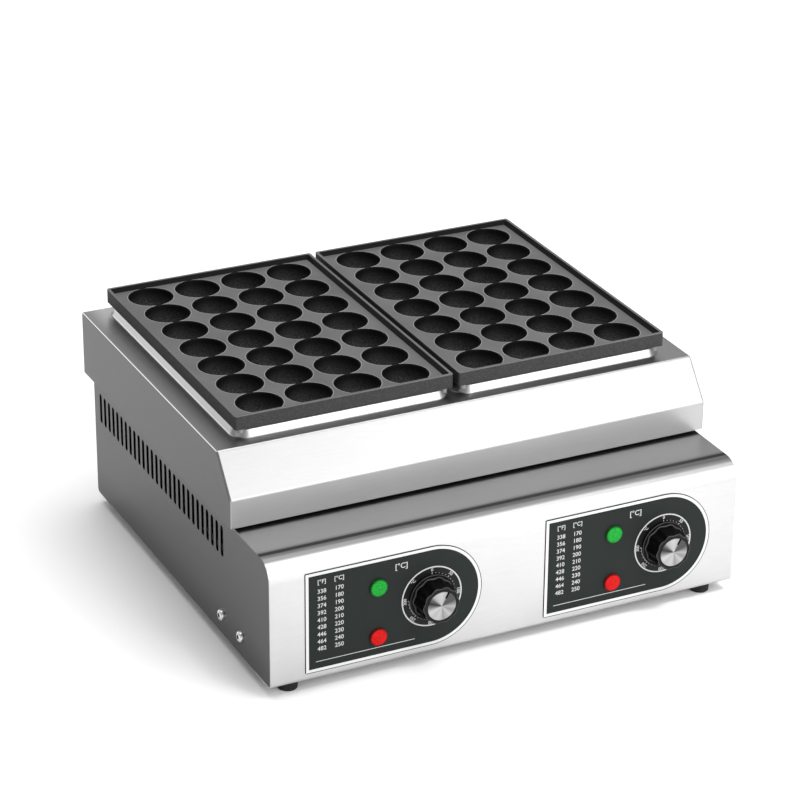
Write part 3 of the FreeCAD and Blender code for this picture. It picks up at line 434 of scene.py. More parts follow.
def cover_tone(tree):
    low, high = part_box("top_cover")
    place, normal = place_of(tree), own_normal(tree)
    # Painted reflection across the deck, darker along its left edge
    deck = product(tree, between(tree, place["X"], low.x, high.x, *DECK_REFLECTION_ENDS),
                   between(tree, place["X"], low.x + STRIP_START, low.x + STRIP_END, *STRIP_PAINTED_LIGHT))
    flat = between(tree, normal["Z"], 0.93, 0.99)
    raised = between(tree, place["Z"], DECK_LEVEL + 0.2 * MM, DECK_LEVEL + 1.2 * MM)
    # Painted highlight where the sheet bends down to the sides
    slant = sum_of(tree, "ABSOLUTE", product(tree, normal["X"], normal["Z"]))
    side_bend_highlight = between(tree, slant, 0.40, 0.48, 0.0, SIDE_BEND_HIGHLIGHT)
    tone = blend(tree, flat, facing_tone(tree, COVER_FACING_SHADE), deck)
    # The raised collar is painted brighter, as light
    return blend(tree, raised, sum_of(tree, "ADD", tone, side_bend_highlight), COLLAR_PAINTED_LIGHT)


print("deck at", round(DECK_LEVEL / MM, 1), "mm")

# %% Painted shade on the sides
VENT_PITCH = 10.04 * MM
LAST_VENT = 27
VENT_INSET = 14.4 * MM  # the rearmost vent ahead of the sheet's back edge
VENT_DROP = 23 * MM  # the vents' middles below the front sheet's ledge
FRONT_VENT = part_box("left_side_panel")[1].y - VENT_INSET - LAST_VENT * VENT_PITCH
VENT_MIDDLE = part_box("front_panel")[1].z - VENT_DROP
VENT_STRAIGHT = 11.1 * MM  # half of a slot's straight part
# The slots' walls and a thin rim round each are painted dark, as shade
VENT_EDGE = 3.1 * MM  # half of a slot's width, with its darkened edge
VENT_SHADE = 0.02
SIDE_FACING_SHADE = (0.235, 0.90, 0.60)
# Painted shade towards the sheet's lower edge
FOOT_SHADE = 0.66
SHADE_START, SHADE_END = 8 * MM, 30 * MM  # above the sheet's lower edge


def side_tone(tree):
    """Painted shade on the vents' walls and on a thin rim round each slot, and painted shade at the foot of each
    side.
    """
    place = place_of(tree)
    along = from_nearest(tree, place["Y"], FRONT_VENT, VENT_PITCH, LAST_VENT)
    above = difference(tree, apart(tree, place["Z"], VENT_MIDDLE), VENT_STRAIGHT)
    reach = length_of(tree, along, sum_of(tree, "MAXIMUM", above, 0))
    vent = between(tree, reach, VENT_EDGE - 0.1 * MM, VENT_EDGE + 0.1 * MM, 1.0, 0.0)
    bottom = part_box("left_side_panel")[0].z
    foot = between(tree, place["Z"], bottom + SHADE_START, bottom + SHADE_END, FOOT_SHADE, 1.0)
    return blend(tree, vent, product(tree, facing_tone(tree, SIDE_FACING_SHADE), foot), VENT_SHADE)


print("vents in a side:", LAST_VENT + 1)

# %% Painted reflections on the front sheet
BEND_DEPTH = 27 * MM
FACE_PAINTED_LIGHT = 1.40
# Painted reflections down the bend, the dark line among them
BEND_REFLECTION_TONES = [(0.0, FACE_PAINTED_LIGHT), (7.4, 1.30), (8.8, 0.56), (9.8, 0.34), (13.0, 0.40), (16.6, 0.42),
              (17.6, 0.02), (21.2, 0.02), (23.2, 0.46), (26.5, 0.62)]


def bend_tone(tree):
    """Painted reflections: the tone at each distance behind the face, in millimetres, above the bend's lower end.
    """
    low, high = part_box("front_panel")
    place = place_of(tree)
    behind = between(tree, place["Y"], low.y, low.y + BEND_DEPTH)
    stops = [(depth * MM / BEND_DEPTH, grey(tone / FACE_PAINTED_LIGHT)) for depth, tone in BEND_REFLECTION_TONES]
    upper = between(tree, place["Z"], high.z - BEND_DEPTH, high.z - BEND_DEPTH + 1 * MM)
    return blend(tree, upper, FACE_PAINTED_LIGHT, product(tree, colour_ramp(tree, behind, stops), FACE_PAINTED_LIGHT))


print("tones over the bend:", len(BEND_REFLECTION_TONES))


# %% Sheet steel
def sheet_steel(name, level, roughness, tone=None, depth=0.05, spread=0.06):
    """Brushed sheet whose tone wanders a little about one grey."""
    material, tree, shader = new_tree(name)
    grain = add_node(tree, "Group", node_tree=GRAIN)
    for key, value in (("Depth", depth), ("Roughness", roughness), ("Spread", spread)):
        grain.inputs[key].default_value = value
    colour = grey_ramp(tree, grain.outputs["Tone"], 0.3, level * 0.94, 0.7, level * 1.06)
    # The tone function paints light and shade over the grain
    if tone:
        colour = scaled(tree, colour, tone(tree))
    set_shader(tree, shader, Base_Color=colour, Roughness=grain.outputs["Roughness"],
               Normal=grain.outputs["Normal"], Metallic=1.0)
    return material


BRUSHED_LEVEL = 0.36
COVER_STEEL = sheet_steel("brushed_cover", BRUSHED_LEVEL, 0.34, cover_tone)
dress(["top_cover"], COVER_STEEL)
dress(["front_panel"], sheet_steel("brushed_front", BRUSHED_LEVEL, 0.32, bend_tone))
dress(["back_panel"] + both("side_panel"), sheet_steel("brushed_housing", BRUSHED_LEVEL, 0.34, side_tone))
INNER_SHEETS = ["bottom_plate", "component_rail", "heat_shield"] + both("heat_tray", "heater_rack")
dress(INNER_SHEETS, sheet_steel("galvanised_sheet", 0.42, 0.42, depth=0.2))
print("inner sheets:", len(INNER_SHEETS))

# %% [markdown]
# ## The cast plates
# The plates are aluminium under a dark non-stick coating. Inside the cups and down the walls it is nearly black. On
# the flat land between the cups, picks and scrapers have rubbed it to a smoother surface, and its lighter grey
# there is a painted sheen. The cups' lips and the outer walls' top edge carry painted highlights, the cups' bottoms
# a faint painted reflection, and the side walls a little painted shade. Height and normal together find these
# places: the land, for one, faces straight up and lies at the level of the plate's floor. The pegs underneath are
# bare metal. Small speckles break the highlights everywhere.

# %% Coated casting
RIM_HEIGHT = 3.7 * MM
COLUMNS, ROWS = 4, 7
COLUMN_PITCH = 43.3 * MM
ROW_PITCH = 39.1 * MM
FIRST_COLUMN = 31.3 * MM
FIRST_ROW = 24.6 * MM
MOUTH_RADIUS = 19.0 * MM
WALL_SKIN = 0.6 * MM
WALL_HEIGHT = 12.1 * MM
PEG_REACH = 9 * MM


def worn_land(tree, height, normal, floor_level):
    """1 on the flat land between the cups and on the rim's flat top."""
    above = between(tree, height, floor_level - 0.8 * MM, floor_level - 0.1 * MM)
    return product(tree, above, between(tree, normal["Z"], 0.85, 0.97))


def outer_wall(tree, place, low, high):
    """1 on the plate's front and back walls, a little less on the other two, and 0 elsewhere."""
    middle, half = (low + high) / 2, (high - low) / 2
    on_side = sum_of(tree, "GREATER_THAN", apart(tree, place["X"], middle.x), half.x - WALL_SKIN)
    on_end = sum_of(tree, "GREATER_THAN", apart(tree, place["Y"], middle.y), half.y - WALL_SKIN)
    # The side walls take less of the walls' grey, as painted shade
    return sum_of(tree, "MAXIMUM", product(tree, on_side, 0.8), on_end)


def cup_lip(tree, place, corner):
    """1 on a thin line round each cup's mouth, and inside it."""
    across = from_nearest(tree, place["X"], corner.x + FIRST_COLUMN, COLUMN_PITCH, COLUMNS - 1)
    along = from_nearest(tree, place["Y"], corner.y + FIRST_ROW, ROW_PITCH, ROWS - 1)
    return between(tree, length_of(tree, across, along), MOUTH_RADIUS + 0.8 * MM, MOUTH_RADIUS + 1.3 * MM, 1.0, 0.0)


def cup_bottom(tree, height, normal, floor_level):
    """Grows towards each cup's bottom, where a faint reflection is painted."""
    below = between(tree, height, floor_level - 3 * MM, floor_level - 5 * MM)
    return product(tree, below, between(tree, normal["Z"], 0.20, 0.75))


def bare_peg(tree, place, low, high):
    """1 on the pegs: what is lower than the outer wall and near two of its sides."""
    middle, half = (low + high) / 2, (high - low) / 2
    share = between(tree, place["Z"], high.z - WALL_HEIGHT - 0.2 * MM, high.z - WALL_HEIGHT, 1.0, 0.0)
    for axis, centre, reach in (("X", middle.x, half.x), ("Y", middle.y, half.y)):
        near = between(tree, apart(tree, place[axis], centre), reach - PEG_REACH - 0.2 * MM, reach - PEG_REACH)
        share = product(tree, share, near)
    return share


def coated_casting(node):
    material, tree, shader = new_tree(f"{node}_nonstick")
    coordinates = object_coordinates(tree)
    place = place_of(tree)
    normal = own_normal(tree)
    low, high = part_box(node)
    floor_level = high.z - RIM_HEIGHT
    land = worn_land(tree, place["Z"], normal, floor_level)
    fine = noise(tree, coordinates, 900.0, 4.0, 0.65)
    broad = noise(tree, coordinates, 22.0)
    deep = grey_ramp(tree, fine, 0.35, 0.0010, 0.75, 0.004)
    # A faint painted reflection towards the cups' bottoms
    bottom = grey_ramp(tree, fine, 0.40, 0.006, 0.68, 0.055)
    wall = grey_ramp(tree, fine, 0.35, 0.030, 0.75, 0.075)
    # Painted highlights: along the outer walls' top edge, and brighter on the cups' lips
    edge = grey_ramp(tree, fine, 0.35, 0.13, 0.75, 0.24)
    lip_highlight = grey_ramp(tree, fine, 0.35, 0.26, 0.75, 0.42)
    # The land's lighter grey is a painted sheen
    land_sheen = grey_ramp(tree, broad, 0.3, 0.085, 0.7, 0.115)
    outside = outer_wall(tree, place, low, high)
    crest_highlight = product(tree, outside, between(tree, place["Z"], high.z - 0.6 * MM, high.z - 0.3 * MM))
    colour = mix_colours(tree, cup_bottom(tree, place["Z"], normal, floor_level), deep, bottom)
    colour = mix_colours(tree, outside, colour, wall)
    colour = mix_colours(tree, crest_highlight, colour, edge)
    colour = mix_colours(tree, bare_peg(tree, place, low, high), colour, grey(0.30))
    land_colour = mix_colours(tree, cup_lip(tree, place, low), land_sheen, lip_highlight)
    grit = between(tree, fine, 0.0, 1.0, -0.09, 0.09)
    rough = sum_of(tree, "ADD", between(tree, land, 0, 1, 0.62, 0.42), grit)
    bump(tree, shader, fine, 0.22, 0.0002)
    set_shader(tree, shader, Base_Color=mix_colours(tree, land, colour, land_colour), Roughness=rough,
               Specular_IOR_Level=0.12)
    return material


for name in both("cup_plate"):
    dress([name], coated_casting(name))

# %% [markdown]
# ## Small inner pieces
# What shows only from below or through the slots still gets its own finish: the elements are steel that heat
# has turned brown, their rings are white ceramic, and the screws are bright plated steel.


# %% Plain finishes with a little life
def moulded(name, colour, roughness, spread=0.08, scale=160.0, relief=0.08, **values):
    """A moulded or plated finish: one colour with slight changes of tone and gloss."""
    material, tree, shader = new_tree(name)
    mottle = noise(tree, object_coordinates(tree), scale)
    darker, lighter = shades(colour, 1 - spread, 1 + spread)
    bump(tree, shader, mottle, relief, 0.0002)
    set_shader(tree, shader, Base_Color=colour_ramp(tree, mottle, [(0.3, darker), (0.7, lighter)]),
               Roughness=between(tree, mottle, 0, 1, roughness * 0.85, roughness * 1.15), **values)
    return material


ELEMENT = moulded("heat_stained_tube", (0.16, 0.12, 0.09), 0.4, spread=0.35, scale=60, Metallic=1.0)
CERAMIC = moulded("white_ceramic", (0.70, 0.68, 0.62), 0.45)
PLATED = moulded("plated_screw", grey(0.5), 0.22, Metallic=1.0)
PRESSED = moulded("plated_pressing", grey(0.42), 0.35, Metallic=1.0)
BRASS = moulded("brass_screw", (0.72, 0.52, 0.22), 0.3, Metallic=1.0)
BLACK_PLASTIC = moulded("black_plastic", grey(0.012), 0.42)
PALE_PLASTIC = moulded("pale_plastic", (0.62, 0.6, 0.54), 0.5)
RUBBER = moulded("foot_rubber", grey(0.010), 0.75, spread=0.3, scale=400, relief=0.3, Specular_IOR_Level=0.3)

dress(both("heater", "sensor"), ELEMENT)
dress(both("heater_insulators"), CERAMIC)
dress(both("thermostat"), PRESSED)
PLATED_PIECES = ["side_screws", "back_screws", "front_screws", "foot_bolts", "foot_nuts", "cover_nuts",
                 "earth_screw", "thermostat_screws"] + both("thermostat_shaft")
dress(PLATED_PIECES, PLATED)
dress(["terminal_screws"], BRASS)
dress(["terminal_block"], PALE_PLASTIC)
dress(["cord_bushing", "bushing_nut"] + both("power_lamp_body", "heat_lamp_body"), BLACK_PLASTIC)
dress([f"{end}_{side}_foot" for end in ("front", "back") for side in SIDES], RUBBER)
print("pieces in plated steel:", len(PLATED_PIECES))

# %% [markdown]
# ## Round pieces
# Lenses and caps are patterned about their own axis. The piece's box gives that axis, and two numbers describe
# any point on the front: how far it is from the axis, and at what angle, clockwise from the top.


# %% Radius and angle
def about_axis(tree, node):
    """The radius and the turn, from 0 to 1 clockwise from the top, about a round piece's own axis."""
    low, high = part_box(node)
    place = place_of(tree)
    right = difference(tree, place["X"], (low.x + high.x) / 2)
    up = difference(tree, place["Z"], (low.z + high.z) / 2)
    turn = sum_of(tree, "DIVIDE", sum_of(tree, "ARCTAN2", right, up), math.tau)
    return length_of(tree, right, up), sum_of(tree, "FRACT", sum_of(tree, "ADD", turn, 1.0))


# %% [markdown]
# ## Lamps
# A lamp's lens is moulded in clear coloured plastic over a patterned back: many small facets, a painted shade in a
# ring where the wall turns back, and a dull skin, so that the colour stays strong.


# %% Lens finish
RIM_START, RIM_END = 0.84, 0.93  # as shares of the lens's radius


def lens_finish(node, colour):
    material, tree, shader = new_tree(node)
    low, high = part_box(node)
    lens_radius = (high.x - low.x) / 2
    radius = about_axis(tree, node)[0]
    facets = add_node(tree, "TexVoronoi", {"Scale": 900.0, "Vector": object_coordinates(tree)})
    # The ring where the wall turns back is darkened as painted shade
    darker, lighter, wall = shades(colour, 0.62, 1.2, 0.25)
    face = colour_ramp(tree, facets.outputs["Distance"], [(0.1, lighter), (0.75, darker)])
    rim_shade = between(tree, radius, lens_radius * RIM_START, lens_radius * RIM_END)
    bump(tree, shader, facets.outputs["Distance"], 0.12, 0.0003)
    set_shader(tree, shader, Base_Color=mix_colours(tree, rim_shade, face, wall), Roughness=0.4, Specular_IOR_Level=0.10)
    return material


GREEN = (0.010, 0.31, 0.032)
RED = (0.54, 0.004, 0.004)
for lamp, colour in (("power_lamp_lens", GREEN), ("heat_lamp_lens", RED)):
    for name in both(lamp):
        dress([name], lens_finish(name, colour))
print("lenses dressed:", len(both("power_lamp_lens", "heat_lamp_lens")))

# %% [markdown]
# ## The knobs' caps
# A cap is a thin aluminium disc turned on a lathe. Its fine grooves run round the axis, and such a surface gathers
# light into wedges that meet in the middle. Those wedges are a painted reflection: a ramp over the angle lays them
# down, and narrow streaks of noise, stretched along the radius, break them up. The grooves themselves are a shallow
# bump. The pointer's mark is filled with black.

# %% Spun aluminium
REFLECTION_WEDGES = [(0.00, 0.39), (0.055, 0.31), (0.095, 0.075), (0.20, 0.07), (0.245, 0.18), (0.285, 0.34), (0.335, 0.21),
          (0.40, 0.38), (0.475, 0.22), (0.54, 0.39), (0.62, 0.35), (0.70, 0.43), (0.755, 0.18), (0.81, 0.020),
          (0.865, 0.10), (0.905, 0.34), (1.0, 0.39)]
MARK_TURN = 29 / 360  # clockwise from the top
MARK_HALF_WIDTH = 0.85 * MM
MARK_LENGTH = 5.2 * MM
MARK_TONE = 0.02
GROOVE_PITCH = 0.25 * MM


def beside_mark(tree, node, radius, turn):
    """1 everywhere but on the pointer's mark, which is nearly black."""
    low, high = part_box(node)
    inner = (high.x - low.x) / 2 - MARK_LENGTH
    aside = product(tree, product(tree, apart(tree, turn, MARK_TURN), radius), math.tau)
    beside = between(tree, aside, MARK_HALF_WIDTH, MARK_HALF_WIDTH + 0.1 * MM, MARK_TONE, 1.0)
    return sum_of(tree, "MAXIMUM", beside, between(tree, radius, inner - 0.1 * MM, inner, 1.0, MARK_TONE))


def spun_aluminium(node):
    material, tree, shader = new_tree(node)
    radius, turn = about_axis(tree, node)
    # Painted reflection in wedges round the axis
    wedges = colour_ramp(tree, turn, [(place, grey(tone)) for place, tone in REFLECTION_WEDGES])
    fan = add_node(tree, "CombineXYZ", {"X": product(tree, turn, 70.0), "Y": product(tree, radius, 60.0)})
    streaks = grey_ramp(tree, noise(tree, fan.outputs[0], 1.0, 4.0), 0.3, 0.80, 0.7, 1.0)
    mix = add_node(tree, "Mix", {0: 1.0, 6: wedges, 7: streaks}, data_type="RGBA", blend_type="MULTIPLY")
    colour = scaled(tree, mix.outputs[2], beside_mark(tree, node, radius, turn))
    grooves = sum_of(tree, "SINE", product(tree, radius, math.tau / GROOVE_PITCH))
    bump(tree, shader, grooves, 0.12, 0.00002)
    set_shader(tree, shader, Base_Color=colour, Metallic=1.0, Roughness=0.34)
    return material


for name in both("knob_cap"):
    dress([name], spun_aluminium(name))
print("caps dressed, wedges:", len(REFLECTION_WEDGES))

# %% [markdown]
# ## The panel film
# The film is printed from behind: a thin dark outline, a white margin, and inside it a dark green-grey field of
# the same outline. The distance to the film's edge tells the three apart. It is the half circle's radius less
# the distance from its middle, or the distance to the straight left end where that is less.

# %% Film finish
FIELD_MARGIN = 3.1 * MM
OUTLINE_WIDTH = 0.6 * MM
FIELD_COLOUR = (0.0118, 0.0153, 0.0140)
MARGIN_COLOUR = grey(0.60)
OUTLINE_COLOUR = grey(0.008)


def edge_distance(tree, facts):
    place = place_of(tree)
    beyond = sum_of(tree, "MAXIMUM", difference(tree, place["X"], facts["round_x"]), 0.0)
    rise = difference(tree, place["Z"], facts["z"])
    to_curve = difference(tree, facts["radius"], length_of(tree, beyond, rise))
    return sum_of(tree, "MINIMUM", to_curve, difference(tree, place["X"], facts["left"]))


def make_film(side):
    material, tree, shader = new_tree(f"{side}_printed_film")
    distance = edge_distance(tree, PANELS[side])
    grain = noise(tree, object_coordinates(tree), 1400.0, 2.0)
    field = colour_ramp(tree, grain, list(zip((0.3, 0.7), shades(FIELD_COLOUR, 0.72, 1.2))))
    colour = mix_colours(tree, sum_of(tree, "LESS_THAN", distance, FIELD_MARGIN), field, MARGIN_COLOUR)
    colour = mix_colours(tree, sum_of(tree, "LESS_THAN", distance, OUTLINE_WIDTH), colour, OUTLINE_COLOUR)
    bump(tree, shader, grain, 0.15, 0.0001)
    set_shader(tree, shader, Base_Color=colour, Roughness=0.5, Specular_IOR_Level=0.12)
    return material


for side in SIDES:
    dress([f"{side}_control_film"], make_film(side))
print("films dressed, field margin", FIELD_MARGIN)

# %% [markdown]
# ## Helpers for meshes
# New pieces are modelled round the origin and then moved. Turned ones grow like pottery on a wheel: a circle is
# picked and pushed up ring by ring, then its faces are turned outwards and its soft edges smoothed.


# %% Mesh helpers
def deselect():
    if bpy.context.object and bpy.context.object.mode != "OBJECT":
        bpy.ops.object.mode_set(mode="OBJECT")
    bpy.ops.object.select_all(action="DESELECT")


def even_faces():
    """Turns the picked faces the same way, and leaves Edit Mode."""
    bpy.ops.mesh.normals_make_consistent(inside=False)
    bpy.ops.object.mode_set(mode="OBJECT")


def start_turning(vertices, radius, fill):
    """A circle round the origin, picked in Edit Mode and ready to be pushed up."""
    deselect()
    bpy.ops.mesh.primitive_circle_add(vertices=vertices, radius=radius, fill_type=fill, location=(0, 0, 0))
    bpy.ops.object.mode_set(mode="EDIT")
    bpy.ops.mesh.select_all(action="SELECT")
    return bpy.context.object


def end_turning(sharp):
    """Turns all faces outwards, and smooths the edges that turn by less than an angle, in degrees."""
    bpy.ops.mesh.select_all(action="SELECT")
    even_faces()
    bpy.ops.object.shade_smooth_by_angle(angle=math.radians(sharp))


def rename(piece, name):
    piece.name = name
    piece.data.name = name


def join(pieces, name):
    deselect()
    for piece in pieces:
        piece.select_set(True)
    bpy.context.view_layer.objects.active = pieces[0]
    bpy.ops.object.join()
    rename(bpy.context.object, name)
    return bpy.context.object


print("mesh helpers ready")

# %% [markdown]
# ## The print on the panels
# Two columns of temperatures, one for each unit, stand at the film's left, and a dial is printed round each
# knob: a black disc, a white ring, marks and numbers that follow the circle, and a thin arc over the part of
# the turn that isn't used. Print is flat, so each number or mark is given a twentieth of a millimetre and laid
# on the film. Everything is made in a plane first, then stood up in front of the panel.

# %% Print helpers
PRINT_THICKNESS = 0.05 * MM
BOLD = 0.05 * MM
RING_SEGMENTS = 144


def stand_up(piece, facts, y):
    """Moves work from the drawing plane, whose origin is the knob's axis, to a plane across the machine."""
    piece.data.transform(Matrix.Rotation(math.radians(90), 4, "X"))
    piece.data.transform(Matrix.Translation((facts["x"], y, facts["z"])))


def lettering(text, x, y, height, turn=0.0, bold=BOLD):
    """A line of print in the drawing plane, turned about its own middle."""
    deselect()
    bpy.ops.object.text_add(location=(0, 0, 0))
    letters = bpy.context.object
    letters.data.body = text
    letters.data.size = height
    letters.data.align_x = letters.data.align_y = "CENTER"
    letters.data.extrude = PRINT_THICKNESS / 2
    letters.data.offset = bold
    letters.data.resolution_u = 4
    bpy.ops.object.convert(target="MESH")
    letters = bpy.context.object
    letters.data.transform(Matrix.Translation((x, y, PRINT_THICKNESS / 2)) @ Matrix.Rotation(-turn, 4, "Z"))
    return letters


def ring(inner, outer, start=0.0, end=360.0):
    """A flat ring or arc; angles run clockwise from the top."""
    deselect()
    count = max(4, int(RING_SEGMENTS * (end - start) / 360))
    bpy.ops.mesh.primitive_plane_add(size=1)
    band = bpy.context.object
    corners = ((inner, 0), (outer, 0), (inner, PRINT_THICKNESS), (outer, PRINT_THICKNESS))
    for vertex, (radius, height) in zip(band.data.vertices, corners):
        vertex.co = Matrix.Rotation(math.radians(-start), 3, "Z") @ Vector((0, radius, height))
    bpy.ops.object.mode_set(mode="EDIT")
    bpy.ops.mesh.select_all(action="SELECT")
    bpy.ops.mesh.spin(steps=count, angle=math.radians(end - start), center=(0, 0, 0), axis=(0, 0, -1))
    bpy.ops.mesh.select_all(action="SELECT")
    if end - start >= 360:
        bpy.ops.mesh.remove_doubles(threshold=1e-6)
        bpy.ops.mesh.delete_loose()
    even_faces()
    return band


def bar(x, y, width, height, turn=0.0):
    """A printed bar, as a thin block."""
    deselect()
    bpy.ops.mesh.primitive_cube_add(size=1)
    block = bpy.context.object
    block.data.transform(Matrix.Diagonal((width, height, PRINT_THICKNESS, 1)))
    block.data.transform(Matrix.Translation((x, y, PRINT_THICKNESS / 2)) @ Matrix.Rotation(-turn, 4, "Z"))
    return block


def dot(x, y, radius):
    deselect()
    bpy.ops.mesh.primitive_cylinder_add(vertices=16, radius=radius, depth=PRINT_THICKNESS)
    spot = bpy.context.object
    spot.data.transform(Matrix.Translation((x, y, PRINT_THICKNESS / 2)))
    return spot


print("print thickness", PRINT_THICKNESS)

# %% Temperature columns
CELSIUS = list(range(170, 251, 10))
FAHRENHEIT = [round(value * 9 / 5 + 32) for value in CELSIUS]
COLUMN_X = {"f": -96.0 * MM, "c": -81.0 * MM}
COLUMN_TOP = 26.9 * MM
ROW_STEP = 6.40 * MM
NUMBER_HEIGHT = 5.2 * MM
HEAD_HEIGHT = 5.0 * MM
HEAD_RISE = 8.5 * MM
UNIT_MARK = {"x": -27.0 * MM, "y": 33.5 * MM, "height": 6.5 * MM}
DEGREE = "°"


def temperature_columns():
    work = []
    for key, values in (("f", FAHRENHEIT), ("c", CELSIUS)):
        work.append(lettering(f"[{DEGREE}{key.upper()}]", COLUMN_X[key], COLUMN_TOP + HEAD_RISE, HEAD_HEIGHT))
        for row, value in enumerate(values):
            work.append(lettering(str(value), COLUMN_X[key], COLUMN_TOP - row * ROW_STEP, NUMBER_HEIGHT))
    work.append(lettering(f"[{DEGREE}C]", UNIT_MARK["x"], UNIT_MARK["y"], UNIT_MARK["height"]))
    return work


print("rows in a column:", len(CELSIUS))

# %% Dial marks
RING_RADIUS = 26.1 * MM
RING_WIDTH = 1.1 * MM
MARK_RADIUS = 20.6 * MM
NUMBER_RADIUS = 23.6 * MM
DIAL_NUMBER_HEIGHT = 3.9 * MM
DIAL_STEP = 45.0
DIAL_NUMBERS = ("0", "50", "100", "150", "200", "250", "300")
DIAL_BOLD = 0.8 * BOLD
BAR_SIZE = (0.45 * MM, 1.6 * MM)
DOTS_BETWEEN = 4
DOT_RADIUS = 0.3 * MM
ARC_INNER, ARC_OUTER = MARK_RADIUS - 0.75 * MM, MARK_RADIUS - 0.4 * MM
UNIT_RADIUS = NUMBER_RADIUS - 0.4 * MM


def on_circle(radius, degrees):
    turn = math.radians(degrees)
    return radius * math.sin(turn), radius * math.cos(turn)


def dial_marks():
    work = [ring(RING_RADIUS - RING_WIDTH / 2, RING_RADIUS + RING_WIDTH / 2)]
    last = DIAL_STEP * (len(DIAL_NUMBERS) - 1)
    work.append(ring(ARC_INNER, ARC_OUTER, last, 360.0))
    for index, number in enumerate(DIAL_NUMBERS):
        degrees = index * DIAL_STEP
        x, y = on_circle(NUMBER_RADIUS, degrees)
        work.append(lettering(number, x, y, DIAL_NUMBER_HEIGHT, math.radians(degrees), DIAL_BOLD))
        x, y = on_circle(MARK_RADIUS, degrees)
        work.append(bar(x, y, *BAR_SIZE, math.radians(degrees)))
        if index < len(DIAL_NUMBERS) - 1:
            for part in range(1, DOTS_BETWEEN + 1):
                part_degrees = degrees + part * DIAL_STEP / (DOTS_BETWEEN + 1)
                work.append(dot(*on_circle(MARK_RADIUS, part_degrees), DOT_RADIUS))
    middle = (last + 360) / 2
    x, y = on_circle(UNIT_RADIUS, middle)
    work.append(lettering(DEGREE + "C", x, y, DIAL_NUMBER_HEIGHT, math.radians(middle), DIAL_BOLD))
    return work


print("dial numbers:", DIAL_NUMBERS)

# %% Lay the print on the panels
PRINT_INK = moulded("white_print", grey(0.50), 0.5, spread=0.04, scale=900, Specular_IOR_Level=0.2)
DISC_INK = moulded("black_print", grey(0.0035), 0.45, spread=0.3, scale=1400, Specular_IOR_Level=0.16)
RULE = {"length": 86.5 * MM, "x": -58.1 * MM, "drop": -35.3 * MM, "width": 0.5 * MM}
DISC_HOLE = 0.2 * MM


def add_print(side):
    facts = PANELS[side]
    disc = ring(DISC_HOLE, RING_RADIUS)
    disc.name = f"{side}_dial_disc"
    stand_up(disc, facts, facts["front"])
    disc.data.materials.append(DISC_INK)
    work = temperature_columns() + dial_marks()
    work.append(bar(RULE["x"], RULE["drop"], RULE["length"], RULE["width"]))
    print_work = join(work, f"{side}_panel_print")
    stand_up(print_work, facts, facts["front"] - PRINT_THICKNESS)
    print_work.data.materials.append(PRINT_INK)
    for piece in (disc, print_work):
        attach(piece, "housing")
    return print_work


for side in SIDES:
    print(side, "print faces:", len(add_print(side).data.polygons))

# %% [markdown]
# ## The knobs
# A knob is moulded in black plastic: a thin round flange, and a grip with ten waves round it that tapers a
# little to the front. A filled circle is pushed forward ring by ring, and each new ring gets its radius and the
# depth of its waves. Rings close together round the edges off, a fillet joins grip and flange, and the last rings
# sink the seat of the cap. From behind, the first face is drawn in and pushed forward for the shaft.

# %% Knob
KNOB_LOBES = 10
LOBE_STEPS = 14
BACK_RADIUS = 19.7 * MM
CAP_SEAT_RADIUS = 12.4 * MM
CAP_SEAT_DEPTH = 0.72 * MM
BORE_RADIUS = 3.06 * MM
BORE_DEPTH = 11.0 * MM
FLANGE_EDGE = (1.15 * MM, 1.65 * MM)  # ahead of the flange's back, like the next
FOOT_EDGE = (1.95 * MM, 2.5 * MM)
FRONT_EDGE, FRONT_SKIN = 0.35 * MM, 0.02 * MM  # behind the grip's front


def knob_rings(length):
    """Height above the flange's back, radius, and depth of the waves, in millimetres."""
    grip = length / MM
    return [(0.25, 19.95, 0), (1.05, 20.0, 0), (1.45, 19.85, 0), (1.7, 19.5, 0), (1.8, 19.0, 0),
            (1.85, 18.5, 0.8), (2.05, 18.0, 1.1), (2.5, 17.55, 1.25), (3.2, 17.35, 1.3), (grip - 1.1, 16.45, 1.25),
            (grip - 0.6, 16.35, 1.25), (grip - 0.22, 16.1, 1.2), (grip - 0.05, 15.8, 1.15), (grip, 15.4, 1.0),
            (grip, 12.75, 0), (grip - 0.08, 12.5, 0), (grip - 0.2, CAP_SEAT_RADIUS / MM, 0),
            (grip - CAP_SEAT_DEPTH / MM, CAP_SEAT_RADIUS / MM, 0)]


def set_ring(body, height, radius, depth):
    """Puts the picked corners on one wavy outline."""
    bpy.ops.object.mode_set(mode="OBJECT")
    for vertex in body.data.vertices:
        if vertex.select:
            angle = math.atan2(vertex.co.y, vertex.co.x)
            reach = radius - depth * (0.5 - 0.5 * math.cos(angle * KNOB_LOBES))
            vertex.co = Vector((math.cos(angle) * reach, math.sin(angle) * reach, height))
    bpy.ops.object.mode_set(mode="EDIT")


def bore_back(body):
    """Draws the back face in to the shaft's circle and pushes it forward."""
    bpy.ops.object.mode_set(mode="OBJECT")
    for polygon in body.data.polygons:
        polygon.select = polygon.center.z < 1e-6 and len(polygon.vertices) > 4
    for edge in body.data.edges:
        edge.select = False
    for vertex in body.data.vertices:
        vertex.select = vertex.co.z < 1e-6
    bpy.ops.object.mode_set(mode="EDIT")
    bpy.ops.mesh.extrude_region()
    set_ring(body, 0.0, BORE_RADIUS, 0.0)
    bpy.ops.mesh.extrude_region()
    set_ring(body, BORE_DEPTH, BORE_RADIUS, 0.0)


def knob_body(length):
    body = start_turning(KNOB_LOBES * LOBE_STEPS, BACK_RADIUS, "NGON")
    for height, radius, depth in knob_rings(length):
        bpy.ops.mesh.extrude_region()
        set_ring(body, height * MM, radius * MM, depth * MM)
    bore_back(body)
    end_turning(42)
    return body


